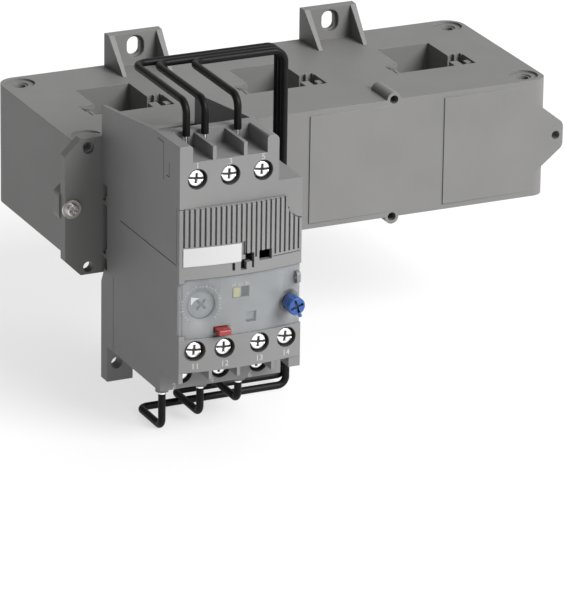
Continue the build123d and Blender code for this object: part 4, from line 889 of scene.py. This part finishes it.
def screw_profile(settings):
    """One screw along Y with its head's face at zero and its shank behind it."""
    radius, recess = settings.head_radius, settings.recess_depth

    def face_depth(x, z):
        across = math.hypot(x, z)
        depth = HEAD_DOME * (across / radius) ** 2
        if across > radius - CHAMFER:
            depth += (across - radius + CHAMFER) * CHAMFER_SLOPE
        for along, beside in ((abs(x), abs(z)), (abs(z), abs(x))):
            if beside < ARM_HALF and along < ARM_REACH:
                depth = max(depth, recess * (1 - ARM_RISE * along / ARM_REACH))
        if abs(z) < SLOT_HALF and abs(x) > SLOT_START:
            depth = max(depth, SLOT_DEPTH)
        return depth

    mesh = bmesh.new()
    sunk = mesh.verts.layers.float.new("recess")
    center = mesh.verts.new((0, face_depth(0, 0), 0))
    # x is taken a hair short, so that no point lies just on an arm's side
    rows = [round_row(mesh, HEAD_SECTORS, radius * ring / HEAD_RINGS,
                      lambda x, z: face_depth(x * 0.999, z))
            for ring in range(1, HEAD_RINGS + 1)]
    # Points deep in the recess are marked, so that the plating paints shade there
    for vertex in [center] + [vertex for row in rows for vertex in row]:
        vertex[sunk] = 1.0 if vertex.co.y > RECESS_SHADE_FLOOR else 0.0
    neck, tip = settings.head_height, settings.head_height + settings.shank_length
    for reach, depth in ((radius, neck), (settings.shank_radius, neck),
                         (settings.shank_radius, tip)):
        rows.append(round_row(mesh, HEAD_SECTORS, reach, flat(depth)))
    for index in range(HEAD_SECTORS):
        mesh.faces.new((center, rows[0][index], rows[0][(index + 1) % HEAD_SECTORS]))
    for row, after in zip(rows, rows[1:]):
        join_rows(mesh, row, after)
    mesh.faces.new(rows[-1])
    bmesh.ops.recalc_face_normals(mesh, faces=mesh.faces[:])
    for face in mesh.faces:
        face.smooth = True
    return baked(mesh, "screw_profile")


def well_shade_profile():
    """Thin dark lining that paints the shade down in the well round one screw, in the same place as
    the screw's own profile.
    """
    section = ((WELL_OUTER, WELL_FRONT), (WELL_OUTER, WELL_BACK), (WELL_LIP, WELL_BACK),
               (WELL_LIP, WELL_FLOOR), (WELL_INNER, WELL_FLOOR), (WELL_INNER, WELL_FRONT))
    mesh = bmesh.new()
    rows = [round_row(mesh, WELL_SECTORS, reach, flat(depth)) for reach, depth in section]
    for row, after in zip(rows, rows[1:] + rows[:1]):
        join_rows(mesh, row, after)
    return closed(mesh, "well_shade_profile")


def scatter_tree(material):
    """Geometry Nodes: a copy of one piece at each point, each turned a little."""
    tree, given = start_tree("screws_on_points",
                             {"Screw": "Object", "Turn": "Float", "Seed": "Int"})
    piece = tree.make("GeometryNodeObjectInfo", {}, {"Object": given["Screw"]},
                      output="Geometry")
    # The sockets 2, 3 and 1 are the float ones of the random value
    spread = tree.make("FunctionNodeRandomValue", {"data_type": "FLOAT"},
                       {2: given["Turn"] * -1, 3: given["Turn"], "Seed": given["Seed"]}, output=1)
    turn = tree.make("ShaderNodeCombineXYZ", {}, {"Y": spread})
    copies = tree.make("GeometryNodeInstanceOnPoints", {},
                       {"Points": given["Geometry"], "Instance": piece, "Rotation": turn})
    return end_tree(tree, copies, material)


def screw_places(node):
    """Centres of the head faces of one row of screws, from left to right."""
    points = sorted((vertex.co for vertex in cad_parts[node].data.vertices),
                    key=lambda point: point.x)
    heads = [[points[0]]]
    for point in points[1:]:
        if point.x - heads[-1][-1].x > HEAD_GAP:
            heads.append([])
        heads[-1].append(point)
    centers = []
    for head in heads:
        z = (min(point.z for point in head) + max(point.z for point in head)) / 2
        centers.append(((head[0].x + head[-1].x) / 2, min(point.y for point in head), z))
    return centers


class RELAY_OT_screws(bpy.types.Operator):
    """Replace the terminal screws by ones with a formed recess"""

    bl_idname = "relay.screws"
    bl_label = "Terminal screws"

    def execute(self, context):
        settings = context.scene.relay_screws
        bright = bpy.data.materials["bright_screw" + FINISHED]
        # A thin, nearly black lining in every well is painted shade: it darkens the walls round the
        # screws
        dark = moulded("well_grey", (0.035, 0.035, 0.034), 0.3 * MM, 0.0, 0.6)
        places = {node: screw_places(node) for node in SCREW_NODES}
        screw = screw_profile(settings)
        for node in SCREW_NODES:
            mesh = self.copies(screw, places[node], SCREW_TURN, settings.turn_seed, bright)
            piece = new_piece(node + "_formed", mesh, bright, "housing")
            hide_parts(node)
        everywhere = [place for row in places.values() for place in row]
        mesh = self.copies(well_shade_profile(), everywhere, 0.0, 0, dark)
        new_piece("screw_wells", mesh, dark, "housing")
        return {"FINISHED"}

    def copies(self, profile, places, turn, seed, material):
        """One mesh with a copy of a profile at each place."""
        points = bpy.data.meshes.new("points")
        points.from_pydata(places, [], [])
        model, carrier = in_scene("model", profile), in_scene("carrier", points)
        mesh = grown(carrier, scatter_tree(material),
                     {"Screw": model, "Turn": turn, "Seed": seed})
        discard(carrier, model)
        return mesh


class RELAY_OT_springs(bpy.types.Operator):
    """Give the two return springs merged meshes of their own in place of the imported ones"""

    bl_idname = "relay.springs"
    bl_label = "Return springs"

    def execute(self, context):
        material = bpy.data.materials["zinc_steel" + FINISHED]
        for node, joint in (("stop_spring", "stop_press"), ("reset_spring", "reset_press")):
            piece = new_piece(node + "_coil", merged(node), material, "housing")
            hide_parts(node)
            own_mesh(piece)
        return {"FINISHED"}


def figure_mesh(text, height):
    """Outline of a number, centred on the origin, in its own plane."""
    curve = bpy.data.curves.new("figure", "FONT")
    curve.body = text
    curve.size = height * FONT_SIZE
    curve.align_x = "CENTER"
    curve.align_y = "CENTER"
    curve.extrude = MARK_LIFT / 2
    curve.offset = height * FONT_WEIGHT
    curve.resolution_u = 3
    holder = in_scene("figure", curve)
    mesh = evaluated(holder)
    discard(holder)
    return mesh


class Marks:
    """Collects flat marks on surfaces that face the front."""

    def __init__(self):
        self.mesh = bmesh.new()

    def figure(self, text, height, x, z, depth):
        """A number at x, z on the surface whose depth is depth(x)."""
        data = figure_mesh(text, height)
        before = len(self.mesh.verts)
        self.mesh.from_mesh(data)
        self.mesh.verts.ensure_lookup_table()
        for vertex in self.mesh.verts[before:]:
            u, v, w = vertex.co
            vertex.co = (x + u, depth(x + u) - MARK_LIFT / 2 - w, z + v)
        bpy.data.meshes.remove(data)

    def plate(self, outline, depth):
        """A filled outline of x, z points, as a thin raised field."""
        back, front = [[self.mesh.verts.new((x, depth(x) - lift, z)) for x, z in outline]
                       for lift in (0.0, MARK_LIFT)]
        self.mesh.faces.new(front)
        self.mesh.faces.new(back[::-1])
        join_rows(self.mesh, back, front)

    def stroke(self, start, end, width, depth):
        """A straight line of a given width."""
        along = (end - start).normalized() * (width / 2)
        side = Vector((-along.y, along.x))
        self.plate((start - side, end - side, end + side, start + side), depth)

    def finish(self, name, material, body):
        """Ends the marks as one piece on a body."""
        bmesh.ops.recalc_face_normals(self.mesh, faces=self.mesh.faces[:])
        return new_piece(name, baked(self.mesh, name), material, body)


# Figures of each row of screws, where they stand from a screw, and their surface
TERMINAL_FIGURES = (
    ("top_screws", ("1", "3", "5"), 0.0, 4.75 * MM, flat(RELAY_FRONT)),
    ("lower_screws", ("2", "4", "6"), -3.1 * MM, -4.2 * MM, flat(LOWER_FRONT)),
    ("aux_screws", ("11", "12", "13", "14"), 0.0, -5.6 * MM, bow_y),
)

# Figures on the panel, above the selector and below the knob, and where they stand
PANEL_FIGURES = (
    ("10", RELAY_LEFT + 19.6 * MM, -9.2 * MM),
    ("20", RELAY_LEFT + 22.1 * MM, -9.2 * MM),
    ("30", RELAY_LEFT + 24.6 * MM, -9.2 * MM),
    ("1", KNOB_X - 4.0 * MM, -24.2 * MM),
    ("2", KNOB_X + 1.8 * MM, -24.2 * MM),
)


class RELAY_OT_marks(bpy.types.Operator):
    """Print plain figures beside the terminals and a scale round the dial"""

    bl_idname = "relay.marks"
    bl_label = "Printed marks"

    def execute(self, context):
        settings = context.scene.relay_marks
        self.terminals(settings, ink("mark_ink", context.scene.relay_finish.ink))
        self.panel(settings, ink("panel_ink", (0.34, 0.35, 0.355)))
        self.dial(ink("pointer_ink", (0.56, 0.59, 0.62)))
        return {"FINISHED"}

    def terminals(self, settings, material):
        """Figures by the terminals."""
        marks = Marks()
        for node, figures, across, rise, surface in TERMINAL_FIGURES:
            for figure, (x, _, z) in zip(figures, screw_places(node)):
                marks.figure(figure, settings.terminal_height, x + across, z + rise, surface)
        marks.finish("terminal_figures", material, "housing")

    def panel(self, settings, material):
        """Figures on the panel and the ticks round the dial."""
        marks = Marks()
        for figure, x, z in PANEL_FIGURES:
            marks.figure(figure, settings.panel_height, x, z, panel_y)
        center, radius = Vector(DIAL_CENTER), settings.scale_radius
        for tick in range(settings.scale_ticks):
            angle = SCALE_START - SCALE_SWEEP * tick / (settings.scale_ticks - 1)
            outward = Vector((math.cos(angle), math.sin(angle)))
            reach = radius + (SHORT_TICK if tick % LONG_EVERY else LONG_TICK)
            marks.stroke(center + radius * outward, center + reach * outward, TICK_WIDTH, panel_y)
        marks.finish("panel_marks", material, "housing")

    def dial(self, material):
        """Pointer on the dial's face: an arrowhead with its tip near the rim."""
        marks = Marks()
        marks.plate([(DIAL_CENTER[0] + x * MM, DIAL_CENTER[1] + z * MM) for x, z in POINTER],
                    flat(DIAL_FRONT))
        marks.finish("dial_pointer", material, "dial")


class RELAY_OT_stage(bpy.types.Operator):
    """Set the camera, the floor and the lights"""

    bl_idname = "relay.stage"
    bl_label = "Stage"

    def execute(self, context):
        settings = context.scene.relay_stage
        context.scene.view_settings.view_transform = "Standard"
        self.camera(context.scene, settings)
        self.floor(settings)
        self.key(settings)
        self.surround(context.scene, settings)
        return {"FINISHED"}

    def camera(self, scene, settings):
        """Camera far off on the front left, a little above."""
        azimuth, elevation, roll = settings.azimuth, settings.elevation, settings.roll
        back = Vector((math.sin(azimuth) * math.cos(elevation),
                       -math.cos(azimuth) * math.cos(elevation), math.sin(elevation)))
        right = Vector((math.cos(azimuth), math.sin(azimuth), 0))
        up = back.cross(right)
        across = math.cos(roll) * right + math.sin(roll) * up
        upward = math.cos(roll) * up - math.sin(roll) * right
        place = (CAMERA_AIM + settings.distance * back + CAMERA_RIGHT * across
                 + CAMERA_UP * upward)
        data = bpy.data.cameras.new("camera")
        data.lens = settings.lens
        data.clip_end = 20
        scene.camera = in_scene("camera", data)
        turn = Matrix((across, upward, back)).transposed().to_4x4()
        scene.camera.matrix_world = Matrix.Translation(place) @ turn

    def floor(self, settings):
        """A pale floor that the object stands on."""
        low, size = CAD_BOX[0][2], FLOOR_REACH
        mesh = bpy.data.meshes.new("floor")
        corners = [(-size, -size, low), (size, -size, low), (size, size, low), (-size, size, low)]
        mesh.from_pydata(corners, [], [(0, 1, 2, 3)])
        finish = Finish("floor_pale")
        cloud = finish.noise(0.4)
        color = settings.floor_color
        mesh.materials.append(finish.surface({
            "Base Color": finish.blend(cloud, shade(color, 0.99), color),
            "Roughness": 0.6,
            "Emission Color": (1, 1, 1),
            "Emission Strength": settings.floor_glow,
        }))
        floor = in_scene("floor", mesh)

    def key(self, settings):
        """Soft light from the front right."""
        data = bpy.data.lights.new("key", "SUN")
        data.angle = settings.key_spread
        data.energy = settings.key_strength
        lamp = in_scene("key", data)
        lamp.location = Vector([(a + b) / 2 for a, b in zip(*CAD_BOX)]) + KEY_DIRECTION
        lamp.rotation_euler = KEY_DIRECTION.to_track_quat("Z", "Y").to_euler()

    def surround(self, scene, settings):
        """White surround that is dim on the left and bright on the right."""
        world = bpy.data.worlds.new("surround")
        world.use_nodes = True
        tree = Tree(world.node_tree)
        toward = tree.make("ShaderNodeTexCoord", output="Generated")
        across = tree.make("ShaderNodeSeparateXYZ", {}, {0: toward}, output="X")
        strength = tree.make("ShaderNodeMapRange", {}, {
            "Value": across, "From Min": -1.0, "From Max": 1.0,
            "To Min": settings.world_left, "To Max": settings.world_right})
        background = world.node_tree.nodes["Background"]
        tree.feed(background.inputs["Color"], (1, 1, 1))
        tree.feed(background.inputs["Strength"], strength)
        scene.world = world


# Each group of settings, with the operators that use it
GROUPS = (
    ("relay_finish", FinishSettings, (RELAY_OT_finishes,)),
    ("relay_cover", CoverSettings, (RELAY_OT_cover,)),
    ("relay_screws", ScrewSettings, (RELAY_OT_screws, RELAY_OT_springs)),
    ("relay_marks", MarkSettings, (RELAY_OT_marks,)),
    ("relay_stage", StageSettings, (RELAY_OT_stage,)),
)


class RELAY_PT_panel(bpy.types.Panel):
    """Sizes and colours of the relay"""

    bl_idname = "RELAY_PT_panel"
    bl_label = "Overload Relay"
    bl_space_type = "VIEW_3D"
    bl_region_type = "UI"
    bl_category = "Relay"

    def draw(self, context):
        for name, kind, operators in GROUPS:
            box = self.layout.box()
            for setting in kind.__annotations__:
                box.prop(getattr(context.scene, name), setting)
            for operator in operators:
                box.operator(operator.bl_idname)


def register():
    for name, kind, operators in GROUPS:
        bpy.utils.register_class(kind)
        setattr(bpy.types.Scene, name, PointerProperty(type=kind))
        for operator in operators:
            bpy.utils.register_class(operator)
    bpy.utils.register_class(RELAY_PT_panel)


def unregister():
    bpy.utils.unregister_class(RELAY_PT_panel)
    for name, kind, operators in reversed(GROUPS):
        for operator in reversed(operators):
            bpy.utils.unregister_class(operator)
        delattr(bpy.types.Scene, name)
        bpy.utils.unregister_class(kind)


def main():
    register()
    bpy.ops.relay.finishes()
    bpy.ops.relay.cover()
    bpy.ops.relay.screws()
    bpy.ops.relay.springs()
    bpy.ops.relay.marks()
    bpy.ops.relay.stage()


if __name__ == "__main__":
    main()
